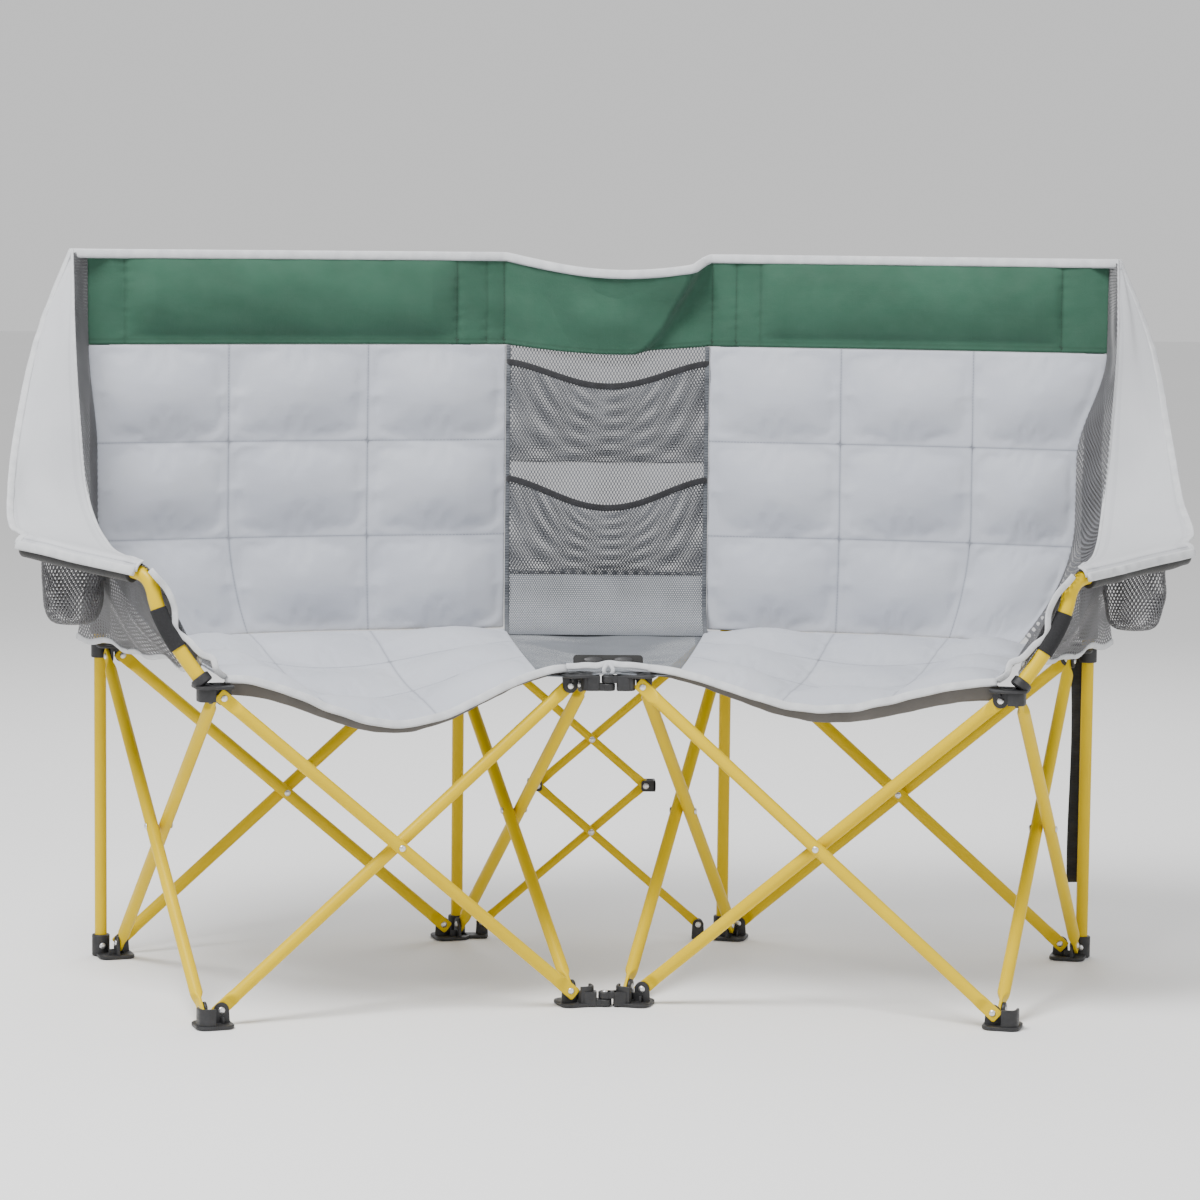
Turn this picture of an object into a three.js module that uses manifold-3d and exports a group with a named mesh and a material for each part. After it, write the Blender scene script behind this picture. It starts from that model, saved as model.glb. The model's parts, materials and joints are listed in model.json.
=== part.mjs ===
// Folding camping loveseat: two quad-fold seat frames side by side under one padded fabric cover.
// Millimetres, +Z up, +X to the sitter's left, the sitter faces -Y. The floor is Z = 0.
// Each seat frame stands on four feet. A pair of crossed tubes joins each two neighbouring corners,
// so the frame closes like an umbrella: hubs rise, feet draw together and nothing turns about Z.

import * as THREE from 'three';
import { mergeVertices } from 'three/addons/utils/BufferGeometryUtils.js';
import Module from 'manifold-3d';

const wasm = await Module();
wasm.setup();

// Plan of one seat frame, open
const crossSpan = 470;          // lower pivot to upper pivot of a crossed tube, along the floor
const crossRise = 405;          // the same, in height
const pivotInset = 15;          // corner centre to pivot, along the face
const frontSweepDegrees = 17;   // the front face runs forward to its outer corner
const sideSpreadShare = 1 / 3;  // sideways run of the side faces, as a share of their length
const linkHalfWidth = 34;       // plane between the seats to the corner centre of an inner foot
const footPivotHeight = 21;

// Tubes
const crossTubeDiameter = 17;
const postDiameter = 17;
const armTubeDiameter = 19;
const latticeTubeDiameter = 12;
const layerGap = 1;             // between the two tubes of a crossed pair
const tabThickness = 5;
const tabWidth = 18;
const latticeTabThickness = 4;
const latticeTabWidth = 13;
const tabTaper = 14;            // length over which a tube goes from flat to round
const tabTipShare = 0.5;        // a tab's width at its tip and where its shoulder lies, as shares
const tabShoulderShare = 0.5;

// Rivets, feet and hubs
const rivetDiameter = 5;
const rivetHeadDiameter = 9;
const rivetHeadHeight = 2;
const rivetClearance = 0.5;
const touchGap = 0.3;
const cheekThickness = 3;
const cheekRadius = 10;
const slotClearance = 0.4;
const padWidth = 50;
const padCornerRadius = 13;
const padShift = 4;             // the pad's centre lies this far inside the corner centre
const footPadThickness = 5;
const hubPlateDrop = 12;        // upper pivot to the underside of the hub's plate
const hubPlateThickness = 4;
const latticeCheekRadius = 8;
const latticeLugWidth = 24;

// Posts, link and arms
const postInset = 12;           // corner centre to post, outwards along both faces
const postTopHeight = 976;
const postBossDiameter = 25;
const postBossHeight = 30;
const postClearance = 0.6;
const hubBossDrop = 20;
const linkPinDiameter = 6;
const linkHeadDiameter = 10;
const linkEyeDiameter = 18;
const linkPlateThickness = 4;
const linkArmWidth = 12;
const linkForward = 10;         // the link's pin lies this far in front of the inner corner centres
const linkFootHeight = 8;
const linkHubDrop = 8;          // the hub link's lower plate lies this far below the plate's top
const linkPillarWidth = 12;
const armRootRise = 7;
const armSocketDiameter = 26;
const armSocketLength = 13;
const armRootShift = 12;        // corner centre to the arm's root, sideways
const armLean = 65;             // root to bend, sideways
const armBendForwardRun = 17;   // root to bend, backwards
const armRise = 132;            // root to bend, upwards
const armReach = 173;           // bend to tip, sideways
const armSetback = 140;         // bend to tip, backwards
const armTipRise = 23;
const armBendRadius = 26;
const armBow = 20;
const sleeveOuterDiameter = 22;
const sleeveClearance = 0.45;
const sleeveStartShare = 0.16;
const sleeveEndShare = 0.40;

// Padded cover
const hemRise = 13;             // post top to the top hem
const bandHeight = 131;         // top hem to the lower edge of the headrest band
const padEdgeThickness = 7;
const padCrown = 13;
const padRows = 3;
const padColumns = 3;
const cellSteps = 4;
const cellRoundness = 0.6;
const backPadRise = 8;          // hub plate to the lower edge of the padded back
const backPadLap = 20;          // the padded back reaches this far past the outer post
const backPadInnerLaps = { right: 25, left: 62 };
const backStandoff = 18.8;      // post axis to the middle of the padded back
const backSag = 24;
const bucketTuck = 88;          // the lowest row draws in and forward at its outer end
const bucketForward = 46;
const bucketRiseShare = 0.42;
const bandCrown = 6;
const bandDip = 26;
const bandSlack = 34;
const bandSeatShare = 0.39;     // the band's length over one seat, as a share
const seatLift = 2.65;
const seatFrontSags = { right: 42, left: 64 };
const seatMiddleSag = 14;
const seatFrontBow = 14;
const seatSetback = 6;
const seatCornerLap = 20;
const seatRearRise = 3;
const seamGap = 1.5;
const clothThickness = 2.4;
const meshThickness = 2.4;
const meshSeatSag = 14;
const meshLift = 1.6;
const meshFold = 5;
const meshFoldCount = 3;
const pocketShares = [           // drop from the band, depth at the sides, dip of the hem
  { drop: 0.06127451, depth: 0.3504902, dip: 0.08088235 },
  { drop: 0.47058824, depth: 0.33823529, dip: 0.09803922 },
];
const pocketBulge = 26;
const pocketHemShare = 0.4;
const gussetGap = 3.55;
const gussetBackShare = 0.55;
const gussetArmShares = [0.96, 0.55, 0.2];
const wingStartShare = 0.06;
const wingBulge = 10;
const wingReach = 204;          // arm bend to the wing's outermost edge
const sidePanelBulge = 20;
const cupTopDiameter = 82;
const cupBottomDiameter = 70;
const cupHeight = 92;
const cupWall = 2.4;
const cupPlaceShare = 0.62;
const cupPlaceStepShare = 0.05;
const cupSettle = 0.35;

// Flats on round pieces
const tubeFacets = 8;
const postFacets = 12;
const armFacets = 10;
const boreAllowance = 1 / Math.cos(Math.PI / armFacets);
const rivetFacets = 6;
const cheekSegments = 3;
const cornerSegments = 2;
const cupFacets = 12;
const latticeFacets = 6;
const armCurveSteps = 5;
const sleeveSteps = 3;
const clothSteps = {            // across and down each cloth surface
  band: [26, 3], backMesh: [6, 6], pocket: [6, 3], seatMesh: [6, 6],
  wing: [4, 8], gusset: [3, 14], panel: [6, 3],
};

// Values that follow from those above
const UP = new THREE.Vector3(0, 0, 1);
const tubeRadius = crossTubeDiameter / 2;
const armRadius = armTubeDiameter / 2;
const postRadius = postDiameter / 2;
const layerOffset = tubeRadius + layerGap / 2;
const latticeLayer = latticeTubeDiameter / 2 + layerGap / 2;
const hubPivotHeight = footPivotHeight + crossRise;
const hubPlateTop = hubPivotHeight + hubPlateDrop + hubPlateThickness;
const topHemHeight = postTopHeight + hemRise;
const bandBottomHeight = topHemHeight - bandHeight;
const backPadBottomHeight = hubPlateTop + backPadRise;
const faceLength = crossSpan + 2 * pivotInset;
const crossLength = Math.hypot(crossSpan, crossRise);
const latticeHalfSpan = crossSpan * sideSpreadShare;
const latticeRun = latticeHalfSpan * 1.5;
const latticeRise = latticeRun * crossRise / crossSpan;
const latticeLength = Math.hypot(latticeRun, latticeRise);
const frontSweep = THREE.MathUtils.degToRad(frontSweepDegrees);
const sides = [['right', 1], ['left', -1]];

const steel = { roughness: 0.35, metalness: 0.1 };
const yellowPaint = () => new THREE.MeshStandardMaterial({ color: 0xf2d21f, ...steel });
const blackPlastic = () => new THREE.MeshStandardMaterial({ color: 0x1d1e20, roughness: 0.6 });
const greyCloth = () => new THREE.MeshStandardMaterial({ color: 0xbfc1c6, roughness: 0.9 });
const greenCloth = () => new THREE.MeshStandardMaterial({ color: 0x3f7a5c, roughness: 0.85 });
const darkMesh = () => new THREE.MeshStandardMaterial({ color: 0x5c5e63, roughness: 0.95 });
const blackFoam = () => new THREE.MeshStandardMaterial({ color: 0x202124, roughness: 0.95 });

const loveseat = new THREE.Group();

const vec = (x, y, z = 0) => new THREE.Vector3(x, y, z);
const along = (start, direction, distance) => start.clone().addScaledVector(direction, distance);
const lifted = (point, height) => vec(point.x, point.y, height);

// Solids for joining and cutting
function solidOf(geometry) {
  const bare = geometry.clone();
  bare.deleteAttribute('normal');
  bare.deleteAttribute('uv');
  const merged = mergeVertices(bare, 1e-4);
  return new wasm.Manifold(new wasm.Mesh({
    numProp: 3,
    vertProperties: new Float32Array(merged.attributes.position.array),
    triVerts: new Uint32Array(merged.index.array),
  }));
}

function geometryOf(solid) {
  const mesh = solid.getMesh();
  const geometry = new THREE.BufferGeometry();
  geometry.setAttribute('position', new THREE.BufferAttribute(Float32Array.from(mesh.vertProperties), 3));
  geometry.setIndex(Array.from(mesh.triVerts));
  geometry.computeVertexNormals();
  return geometry;
}

function joined(geometries, cuts = []) {
  let solid = solidOf(geometries[0]);
  for (const geometry of geometries.slice(1)) {
    solid = solid.add(solidOf(geometry));
  }
  for (const geometry of cuts) {
    solid = solid.subtract(solidOf(geometry));
  }
  return geometryOf(solid);
}

function basisAt(origin, xAxis, zAxis) {
  const yAxis = new THREE.Vector3().crossVectors(zAxis, xAxis).normalize();
  return new THREE.Matrix4().makeBasis(xAxis, yAxis, zAxis).setPosition(origin);
}

function addPart(name, geometry, material, matrix) {
  const mesh = new THREE.Mesh(geometry, material);
  mesh.name = name;
  if (matrix) {
    matrix.decompose(mesh.position, mesh.quaternion, mesh.scale);
  }
  loveseat.add(mesh);
  return mesh;
}

// A cylinder from one point to another
function rod(start, end, radius, facets = rivetFacets) {
  const axis = end.clone().sub(start);
  const geometry = new THREE.CylinderGeometry(radius, radius, axis.length(), facets);
  const turn = new THREE.Quaternion().setFromUnitVectors(vec(0, 1, 0), axis.clone().normalize());
  geometry.applyQuaternion(turn);
  geometry.translate(...start.clone().add(end).multiplyScalar(0.5));
  return geometry;
}

// An upright block between two heights, turned to a heading in plan
function block(centre, heading, length, width, low, high) {
  const geometry = new THREE.BoxGeometry(length, width, high - low);
  geometry.rotateZ(Math.atan2(heading.y, heading.x));
  geometry.translate(centre.x, centre.y, (low + high) / 2);
  return geometry;
}

// A closed skin through rings of equally many points, with flat ends
function loft(rings) {
  const count = rings[0].length;
  const positions = rings.flat().flatMap((point) => point.toArray());
  const index = [];
  for (let ring = 0; ring + 1 < rings.length; ring += 1) {
    for (let k = 0; k < count; k += 1) {
      const a = ring * count + k;
      const b = ring * count + (k + 1) % count;
      index.push(a, b, b + count, a, b + count, a + count);
    }
  }
  const last = (rings.length - 1) * count;
  for (let k = 1; k + 1 < count; k += 1) {
    index.push(0, k + 1, k, last, last + k, last + k + 1);
  }
  return outward(positions, index);
}

// Turns a closed skin so that its faces point out
function outward(positions, index) {
  let volume = 0;
  const [a, b, c] = [vec(0, 0), vec(0, 0), vec(0, 0)];
  for (let k = 0; k < index.length; k += 3) {
    a.fromArray(positions, 3 * index[k]);
    b.fromArray(positions, 3 * index[k + 1]);
    c.fromArray(positions, 3 * index[k + 2]);
    volume += a.dot(b.cross(c));
  }
  const faces = volume < 0 ? [...index].reverse() : index;
  const geometry = new THREE.BufferGeometry();
  geometry.setAttribute('position', new THREE.Float32BufferAttribute(positions, 3));
  geometry.setIndex(faces);
  geometry.computeVertexNormals();
  return geometry;
}

// A sheet or pad: a surface over (u, v) given a thickness on both sides of it
function sheet(surface, uSteps, vSteps, halfThickness) {
  const front = [];
  const back = [];
  const step = 1e-3;
  for (let row = 0; row <= vSteps; row += 1) {
    for (let column = 0; column <= uSteps; column += 1) {
      const u = column / uSteps;
      const v = row / vSteps;
      const [uLow, uHigh] = [Math.max(u - step, 0), Math.min(u + step, 1)];
      const [vLow, vHigh] = [Math.max(v - step, 0), Math.min(v + step, 1)];
      const du = surface(uHigh, v).sub(surface(uLow, v));
      const dv = surface(u, vHigh).sub(surface(u, vLow));
      const normal = du.cross(dv).normalize();
      const middle = surface(u, v);
      front.push(along(middle, normal, halfThickness(u, v)));
      back.push(along(middle, normal, -halfThickness(u, v)));
    }
  }
  const across = uSteps + 1;
  const half = across * (vSteps + 1);
  const index = [];
  const quad = (a, b, c, d) => index.push(a, b, c, a, c, d);
  for (let row = 0; row < vSteps; row += 1) {
    for (let column = 0; column < uSteps; column += 1) {
      const a = row * across + column;
      quad(a, a + 1, a + 1 + across, a + across);
      quad(half + a, half + a + across, half + a + 1 + across, half + a + 1);
    }
  }
  const rim = [];
  for (let column = 0; column < uSteps; column += 1) rim.push(column);
  for (let row = 0; row < vSteps; row += 1) rim.push(row * across + uSteps);
  for (let column = uSteps; column > 0; column -= 1) rim.push(vSteps * across + column);
  for (let row = vSteps; row > 0; row -= 1) rim.push(row * across);
  rim.forEach((a, k) => {
    const b = rim[(k + 1) % rim.length];
    quad(a, half + a, half + b, b);
  });
  return outward([...front, ...back].flatMap((point) => point.toArray()), index);
}

// A crossed tube along local X from its lower pivot to its upper one, flattened at both ends.
// Local Z is the pivots' direction. A tube either carries the middle rivet or has the hole for it.
function crossTubeGeometry({ length, diameter, flat, width, middle, carriesRivet, layer, facets }) {
  const radius = diameter / 2;
  const ring = (x, halfWidth, halfDepth) => Array.from({ length: facets }, (_, k) => {
    const angle = 2 * Math.PI * (k + 0.5) / facets;
    return vec(x, halfWidth * Math.cos(angle), halfDepth * Math.sin(angle));
  });
  const half = width / 2;
  const thin = flat / 2;
  const end = (sign, origin) => [
    ring(origin - sign * half, half * tabTipShare, thin),
    ring(origin - sign * half * tabShoulderShare, half, thin),
    ring(origin + sign * (cheekRadius + cheekThickness / 2), half, thin),
    ring(origin + sign * (cheekRadius + cheekThickness / 2 + tabTaper), radius, radius),
  ];
  const body = loft([...end(1, 0), ...end(-1, length).reverse()]);
  const holeRadius = rivetDiameter / 2 + rivetClearance;
  const crossing = (x, from, to, size) => rod(vec(x, 0, from), vec(x, 0, to), size);
  const cuts = [0, length].map((x) => crossing(x, -diameter, diameter, holeRadius));
  if (!carriesRivet) {
    cuts.push(crossing(middle, -diameter, diameter, holeRadius));
    return joined([body], cuts);
  }
  const reach = 2 * layer + radius + touchGap;
  return joined([
    body,
    crossing(middle, -radius - rivetHeadHeight / 2, reach + rivetHeadHeight / 2, rivetDiameter / 2),
    crossing(middle, -radius - rivetHeadHeight / 2, -radius + rivetHeadHeight / 2, rivetHeadDiameter / 2),
    crossing(middle, reach, reach + rivetHeadHeight, rivetHeadDiameter / 2),
  ], cuts);
}

// A pivot fork: two cheeks with a rivet through them. It stands on the foot's pad, or hangs
// from the hub's plate. Local X is the inward direction, local Y is up and local Z the rivet's.
function forkPieces({ matrix, reach, upright, radius, flat, headFaces }) {
  const inner = flat / 2 + slotClearance;
  const outer = inner + cheekThickness;
  const sign = upright ? 1 : -1;
  const outline = new THREE.Shape();
  outline.moveTo(-radius, -sign * reach);
  outline.lineTo(radius, -sign * reach);
  outline.lineTo(radius, 0);
  outline.absarc(0, 0, radius, 0, sign * Math.PI, !upright);
  outline.closePath();
  const cheek = (from) => {
    const geometry = new THREE.ExtrudeGeometry(outline, {
      depth: cheekThickness, bevelEnabled: false, curveSegments: cheekSegments,
    });
    geometry.translate(0, 0, from);
    return geometry;
  };
  const pinReach = inner + cheekThickness / 2;
  const pieces = [
    cheek(inner),
    cheek(-outer),
    rod(vec(0, 0, -pinReach), vec(0, 0, pinReach), rivetDiameter / 2),
  ];
  for (const face of headFaces) {
    const [from, to] = [outer - cheekThickness / 2, outer + rivetHeadHeight];
    pieces.push(rod(vec(0, 0, face * from), vec(0, 0, face * to), rivetHeadDiameter / 2));
  }
  pieces.forEach((piece) => piece.applyMatrix4(matrix));
  return pieces;
}

// The rounded plate of a foot or hub, square to the front face
function plate(centre, heading, low, thickness) {
  const half = padWidth / 2;
  const corner = half - padCornerRadius;
  const outline = new THREE.Shape();
  outline.absarc(corner, corner, padCornerRadius, 0, Math.PI / 2);
  outline.absarc(-corner, corner, padCornerRadius, Math.PI / 2, Math.PI);
  outline.absarc(-corner, -corner, padCornerRadius, Math.PI, 1.5 * Math.PI);
  outline.absarc(corner, -corner, padCornerRadius, 1.5 * Math.PI, 2 * Math.PI);
  const geometry = new THREE.ExtrudeGeometry(outline, {
    depth: thickness, bevelEnabled: false, curveSegments: cornerSegments,
  });
  geometry.rotateZ(Math.atan2(heading.y, heading.x));
  geometry.translate(centre.x, centre.y, low);
  return geometry;
}

// One seat frame's plan: corner centres, faces and posts. sign is 1 for the right seat of the
// picture and -1 for the left one. P and Q are a face's left and right ends seen from outside.
function planOf(name, sign) {
  const front = vec(sign * Math.cos(frontSweep), -Math.sin(frontSweep));
  const side = vec(sign * sideSpreadShare, Math.sqrt(1 - sideSpreadShare ** 2));
  const innerLap = backPadInnerLaps[name];
  const frontSag = seatFrontSags[name];
  const corners = { front_inner: vec(sign * linkHalfWidth, 0) };
  corners.front_outer = along(corners.front_inner, front, faceLength);
  corners.back_inner = along(corners.front_inner, side, faceLength);
  corners.back_outer = along(corners.front_outer, side, faceLength);
  const ends = {
    front: ['front_inner', 'front_outer'],
    outboard: ['front_outer', 'back_outer'],
    back: ['back_outer', 'back_inner'],
    inboard: ['back_inner', 'front_inner'],
  };
  const faces = {};
  for (const [name, pair] of Object.entries(ends)) {
    const [p, q] = sign > 0 ? pair : [pair[1], pair[0]];
    const heading = corners[q].clone().sub(corners[p]).normalize();
    const normal = new THREE.Vector3().crossVectors(heading, UP);
    faces[name] = { p, q, heading, normal };
  }
  const post = (corner, outwardHeading) => along(
    along(corners[corner], outwardHeading, postInset), side, postInset);
  const posts = {
    outer: post('back_outer', front),
    inner: post('back_inner', front.clone().negate()),
  };
  return { sign, front, side, corners, faces, posts, innerLap, frontSag };
}

const plans = Object.fromEntries(sides.map(([name, sign]) => [name, planOf(name, sign)]));

// Where a face's tubes meet a corner: the rivet's place in plan
function pivotAt(plan, face, corner, outerLayer) {
  const { p, heading, normal } = plan.faces[face];
  const inwards = corner === p ? 1 : -1;
  const onFace = along(plan.corners[corner], heading, inwards * pivotInset);
  return along(onFace, normal, outerLayer ? layerOffset : -layerOffset);
}

// Tube a leans to the left seen from outside and lies in the outer layer, tube b the other way
const outerTube = crossTubeGeometry({
  length: crossLength, diameter: crossTubeDiameter, flat: tabThickness, width: tabWidth,
  middle: crossLength / 2, carriesRivet: false, facets: tubeFacets,
});
const innerTube = crossTubeGeometry({
  length: crossLength, diameter: crossTubeDiameter, flat: tabThickness, width: tabWidth,
  middle: crossLength / 2, carriesRivet: true, layer: layerOffset, facets: tubeFacets,
});

function addCrossedTubes(sideName, plan) {
  for (const [faceName, face] of Object.entries(plan.faces)) {
    const rising = { a: [face.q, face.p], b: [face.p, face.q] };
    for (const [layer, [low, high]] of Object.entries(rising)) {
      const outerLayer = layer === 'a';
      const start = lifted(pivotAt(plan, faceName, low, outerLayer), footPivotHeight);
      const end = lifted(pivotAt(plan, faceName, high, outerLayer), hubPivotHeight);
      const direction = end.clone().sub(start).normalize();
      const matrix = basisAt(start, direction, face.normal);
      const geometry = outerLayer ? outerTube : innerTube;
      addPart(`${sideName}_${faceName}_tube_${layer}`, geometry, yellowPaint(), matrix);
    }
  }
}

// The two forks of a corner piece, one for each face that meets there
function cornerForks(plan, corner, height, upright, reach) {
  const pieces = [];
  for (const [faceName, face] of Object.entries(plan.faces)) {
    if (face.p !== corner && face.q !== corner) continue;
    const atP = face.p === corner;
    const outerLayer = atP !== upright;
    const place = lifted(pivotAt(plan, faceName, corner, outerLayer), height);
    const inward = atP ? face.heading : face.heading.clone().negate();
    const rivetAxis = new THREE.Vector3().crossVectors(inward, UP);
    const matrix = new THREE.Matrix4().makeBasis(inward, UP, rivetAxis).setPosition(place);
    pieces.push(...forkPieces({
      matrix, reach, upright, radius: cheekRadius, flat: tabThickness,
      headFaces: [face.normal.dot(rivetAxis)],
    }));
  }
  return pieces;
}

function padCentre(plan, corner) {
  const inwardFront = corner.endsWith('inner') ? 1 : -1;
  const inwardSide = corner.startsWith('front') ? 1 : -1;
  const shifted = along(plan.corners[corner], plan.front, inwardFront * padShift);
  return along(shifted, plan.side, inwardSide * padShift);
}

// The eyes that pin the two inner front feet, or hubs, together
function linkPieces(plan, lowPlate, root) {
  const lower = plan.sign < 0;
  const low = lower ? lowPlate : lowPlate + linkPlateThickness + touchGap;
  const high = low + linkPlateThickness;
  const pin = vec(0, -linkForward);
  const corner = plan.corners.front_inner;
  const outerEnd = vec(corner.x - plan.sign * (linkPillarWidth + tabWidth) / 2, -linkForward);
  const pillarX = corner.x - plan.sign * (linkPillarWidth + linkEyeDiameter) / 2;
  const pillarCentre = vec(pillarX, -linkForward);
  const [pillarLow, pillarHigh] = [Math.min(low, root), Math.max(high, root)];
  const arm = block(outerEnd.clone().add(pin).multiplyScalar(0.5), vec(1, 0),
    Math.abs(outerEnd.x) + linkPillarWidth / 2, linkArmWidth, low, high);
  const pieces = [
    rod(lifted(pin, low), lifted(pin, high), linkEyeDiameter / 2, tubeFacets),
    arm,
    block(pillarCentre, vec(1, 0), linkPillarWidth, linkEyeDiameter, pillarLow, pillarHigh),
  ];
  const cuts = [];
  const radius = linkPinDiameter / 2;
  if (lower) {
    cuts.push(rod(lifted(pin, low - linkPlateThickness), lifted(pin, high + linkPlateThickness),
      radius + rivetClearance));
  } else {
    const tail = low - touchGap - linkPlateThickness - touchGap;
    const pinRod = (from, to, size) => pieces.push(rod(lifted(pin, from), lifted(pin, to), size));
    pinRod(tail - rivetHeadHeight, high + rivetHeadHeight, radius);
    pinRod(tail - rivetHeadHeight, tail, linkHeadDiameter / 2);
    pinRod(high - touchGap, high + rivetHeadHeight, linkHeadDiameter / 2);
  }
  return { pieces, cuts };
}

// The lug that holds the foot or the top of a lattice tube beside a back inner corner
function latticeLugPieces(plan, pivotHeight, upright, plateLow, plateHigh, outerLayer) {
  const { y } = plan.corners.back_inner;
  const layer = outerLayer ? latticeLayer : -latticeLayer;
  const pivot = vec(plan.sign * latticeHalfSpan, y + layer, pivotHeight);
  const inwardX = vec(-plan.sign, 0);
  const matrix = new THREE.Matrix4().makeBasis(inwardX, UP, new THREE.Vector3().crossVectors(inwardX, UP));
  matrix.setPosition(pivot);
  const reach = upright ? pivotHeight : hubPlateDrop + hubPlateThickness;
  const tongueStart = plan.sign * (latticeHalfSpan - latticeCheekRadius);
  const tongueEnd = plan.corners.back_inner.x;
  const centre = vec((tongueStart + tongueEnd) / 2, y);
  return [
    ...forkPieces({
      matrix, reach, upright, radius: latticeCheekRadius, flat: latticeTabThickness, headFaces: [-1, 1],
    }),
    block(centre, vec(1, 0), Math.abs(tongueEnd - tongueStart), latticeLugWidth, plateLow, plateHigh),
  ];
}

function addFeet(sideName, plan) {
  for (const corner of Object.keys(plan.corners)) {
    const pieces = [
      plate(padCentre(plan, corner), plan.front, 0, footPadThickness),
      ...cornerForks(plan, corner, footPivotHeight, true, footPivotHeight),
    ];
    const cuts = [];
    if (corner.startsWith('back')) {
      const post = corner === 'back_inner' ? plan.posts.inner : plan.posts.outer;
      pieces.push(rod(lifted(post, 0), lifted(post, postBossHeight), postBossDiameter / 2, postFacets));
      cuts.push(rod(lifted(post, footPadThickness), lifted(post, postBossHeight * 2),
        postRadius + touchGap, postFacets));
    }
    if (corner === 'front_inner') {
      const link = linkPieces(plan, linkFootHeight, 0);
      pieces.push(...link.pieces);
      cuts.push(...link.cuts);
    }
    if (corner === 'back_inner') {
      pieces.push(...latticeLugPieces(plan, footPivotHeight, true, 0, footPadThickness, plan.sign < 0));
    }
    addPart(`${sideName}_${corner}_foot`, joined(pieces, cuts), blackPlastic());
  }
}

// The arm tube: from its socket on the front outer hub up to the bend, then out to the tip
function armOf(plan) {
  const s = plan.sign;
  const root = lifted(plan.corners.front_outer, hubPlateTop + armRootRise).add(vec(s * armRootShift, 0));
  const bend = root.clone().add(vec(s * armLean, armBendForwardRun, armRise));
  const tip = bend.clone().add(vec(s * armReach, armSetback, armTipRise));
  const middle = root.clone().lerp(bend, 0.5).add(vec(s * armBow, 0, 0));
  const before = bend.clone().lerp(middle, armBendRadius / bend.distanceTo(middle));
  const after = bend.clone().lerp(tip, armBendRadius / bend.distanceTo(tip));
  const rise = new THREE.QuadraticBezierCurve3(root, middle, before);
  const turn = new THREE.QuadraticBezierCurve3(before, bend, after);
  return { root, middle, bend, tip, before, after, rise, turn };
}

const arms = Object.fromEntries(sides.map(([name]) => [name, armOf(plans[name])]));

// A round tube swept along points, its rings kept square to the path
function sweptTube(points, radii, facets) {
  const rings = [];
  let reference = UP.clone();
  points.forEach((point, k) => {
    const before = points[Math.max(k - 1, 0)];
    const after = points[Math.min(k + 1, points.length - 1)];
    const tangent = after.clone().sub(before).normalize();
    const across = reference.clone().addScaledVector(tangent, -reference.dot(tangent)).normalize();
    const other = new THREE.Vector3().crossVectors(tangent, across);
    reference = across;
    rings.push(Array.from({ length: facets }, (_, j) => {
      const angle = 2 * Math.PI * j / facets;
      return along(along(point, across, radii[k] * Math.cos(angle)), other, radii[k] * Math.sin(angle));
    }));
  });
  return loft(rings);
}

function armPath(arm) {
  return [...arm.rise.getPoints(armCurveSteps), ...arm.turn.getPoints(armCurveSteps).slice(1), arm.tip];
}

function addArm(sideName, arm) {
  const path = armPath(arm);
  addPart(`${sideName}_arm_tube`, sweptTube(path, path.map(() => armRadius), armFacets), yellowPaint());
  const centres = Array.from({ length: sleeveSteps + 1 }, (_, k) => {
    const share = THREE.MathUtils.lerp(sleeveStartShare, sleeveEndShare, k / sleeveSteps);
    return arm.rise.getPoint(share / 0.5);
  });
  const outside = sweptTube(centres, centres.map(() => sleeveOuterDiameter / 2), armFacets);
  const overrun = (from, to) => along(from, from.clone().sub(to).normalize(), sleeveOuterDiameter);
  const last = centres.at(-1);
  const borePath = [overrun(centres[0], centres[1]), ...centres, overrun(last, centres.at(-2))];
  const bore = sweptTube(borePath, borePath.map(() => armRadius + sleeveClearance), armFacets);
  addPart(`${sideName}_arm_sleeve`, joined([outside], [bore]), blackFoam());
}

function addHubs(sideName, plan) {
  const plateLow = hubPivotHeight + hubPlateDrop;
  for (const corner of Object.keys(plan.corners)) {
    const reach = hubPlateDrop + hubPlateThickness;
    const pieces = [
      plate(padCentre(plan, corner), plan.front, plateLow, hubPlateThickness),
      ...cornerForks(plan, corner, hubPivotHeight, false, reach),
    ];
    const cuts = [];
    if (corner.startsWith('back')) {
      const post = corner === 'back_inner' ? plan.posts.inner : plan.posts.outer;
      pieces.push(rod(lifted(post, hubPlateTop - hubBossDrop), lifted(post, hubPlateTop),
        postBossDiameter / 2, postFacets));
      cuts.push(rod(lifted(post, hubPlateTop - 2 * hubBossDrop), lifted(post, hubPlateTop + hubBossDrop),
        postRadius + postClearance, postFacets));
    }
    if (corner === 'front_inner') {
      const link = linkPieces(plan, hubPlateTop - linkHubDrop - linkPlateThickness, hubPlateTop);
      pieces.push(...link.pieces);
      cuts.push(...link.cuts);
    }
    if (corner === 'back_inner') {
      pieces.push(...latticeLugPieces(plan, hubPivotHeight, false, plateLow, hubPlateTop, plan.sign > 0));
    }
    if (corner === 'front_outer') {
      const arm = arms[sideName];
      const direction = arm.middle.clone().sub(arm.root).normalize();
      const top = along(arm.root, direction, armSocketLength);
      pieces.push(rod(along(arm.root, direction, -armRootRise), top, armSocketDiameter / 2, armFacets));
      cuts.push(rod(along(arm.root, direction, -touchGap), along(top, direction, armSocketLength),
        (armRadius + touchGap) * boreAllowance, armFacets));
    }
    addPart(`${sideName}_${corner}_hub`, joined(pieces, cuts), blackPlastic());
  }
}

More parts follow.
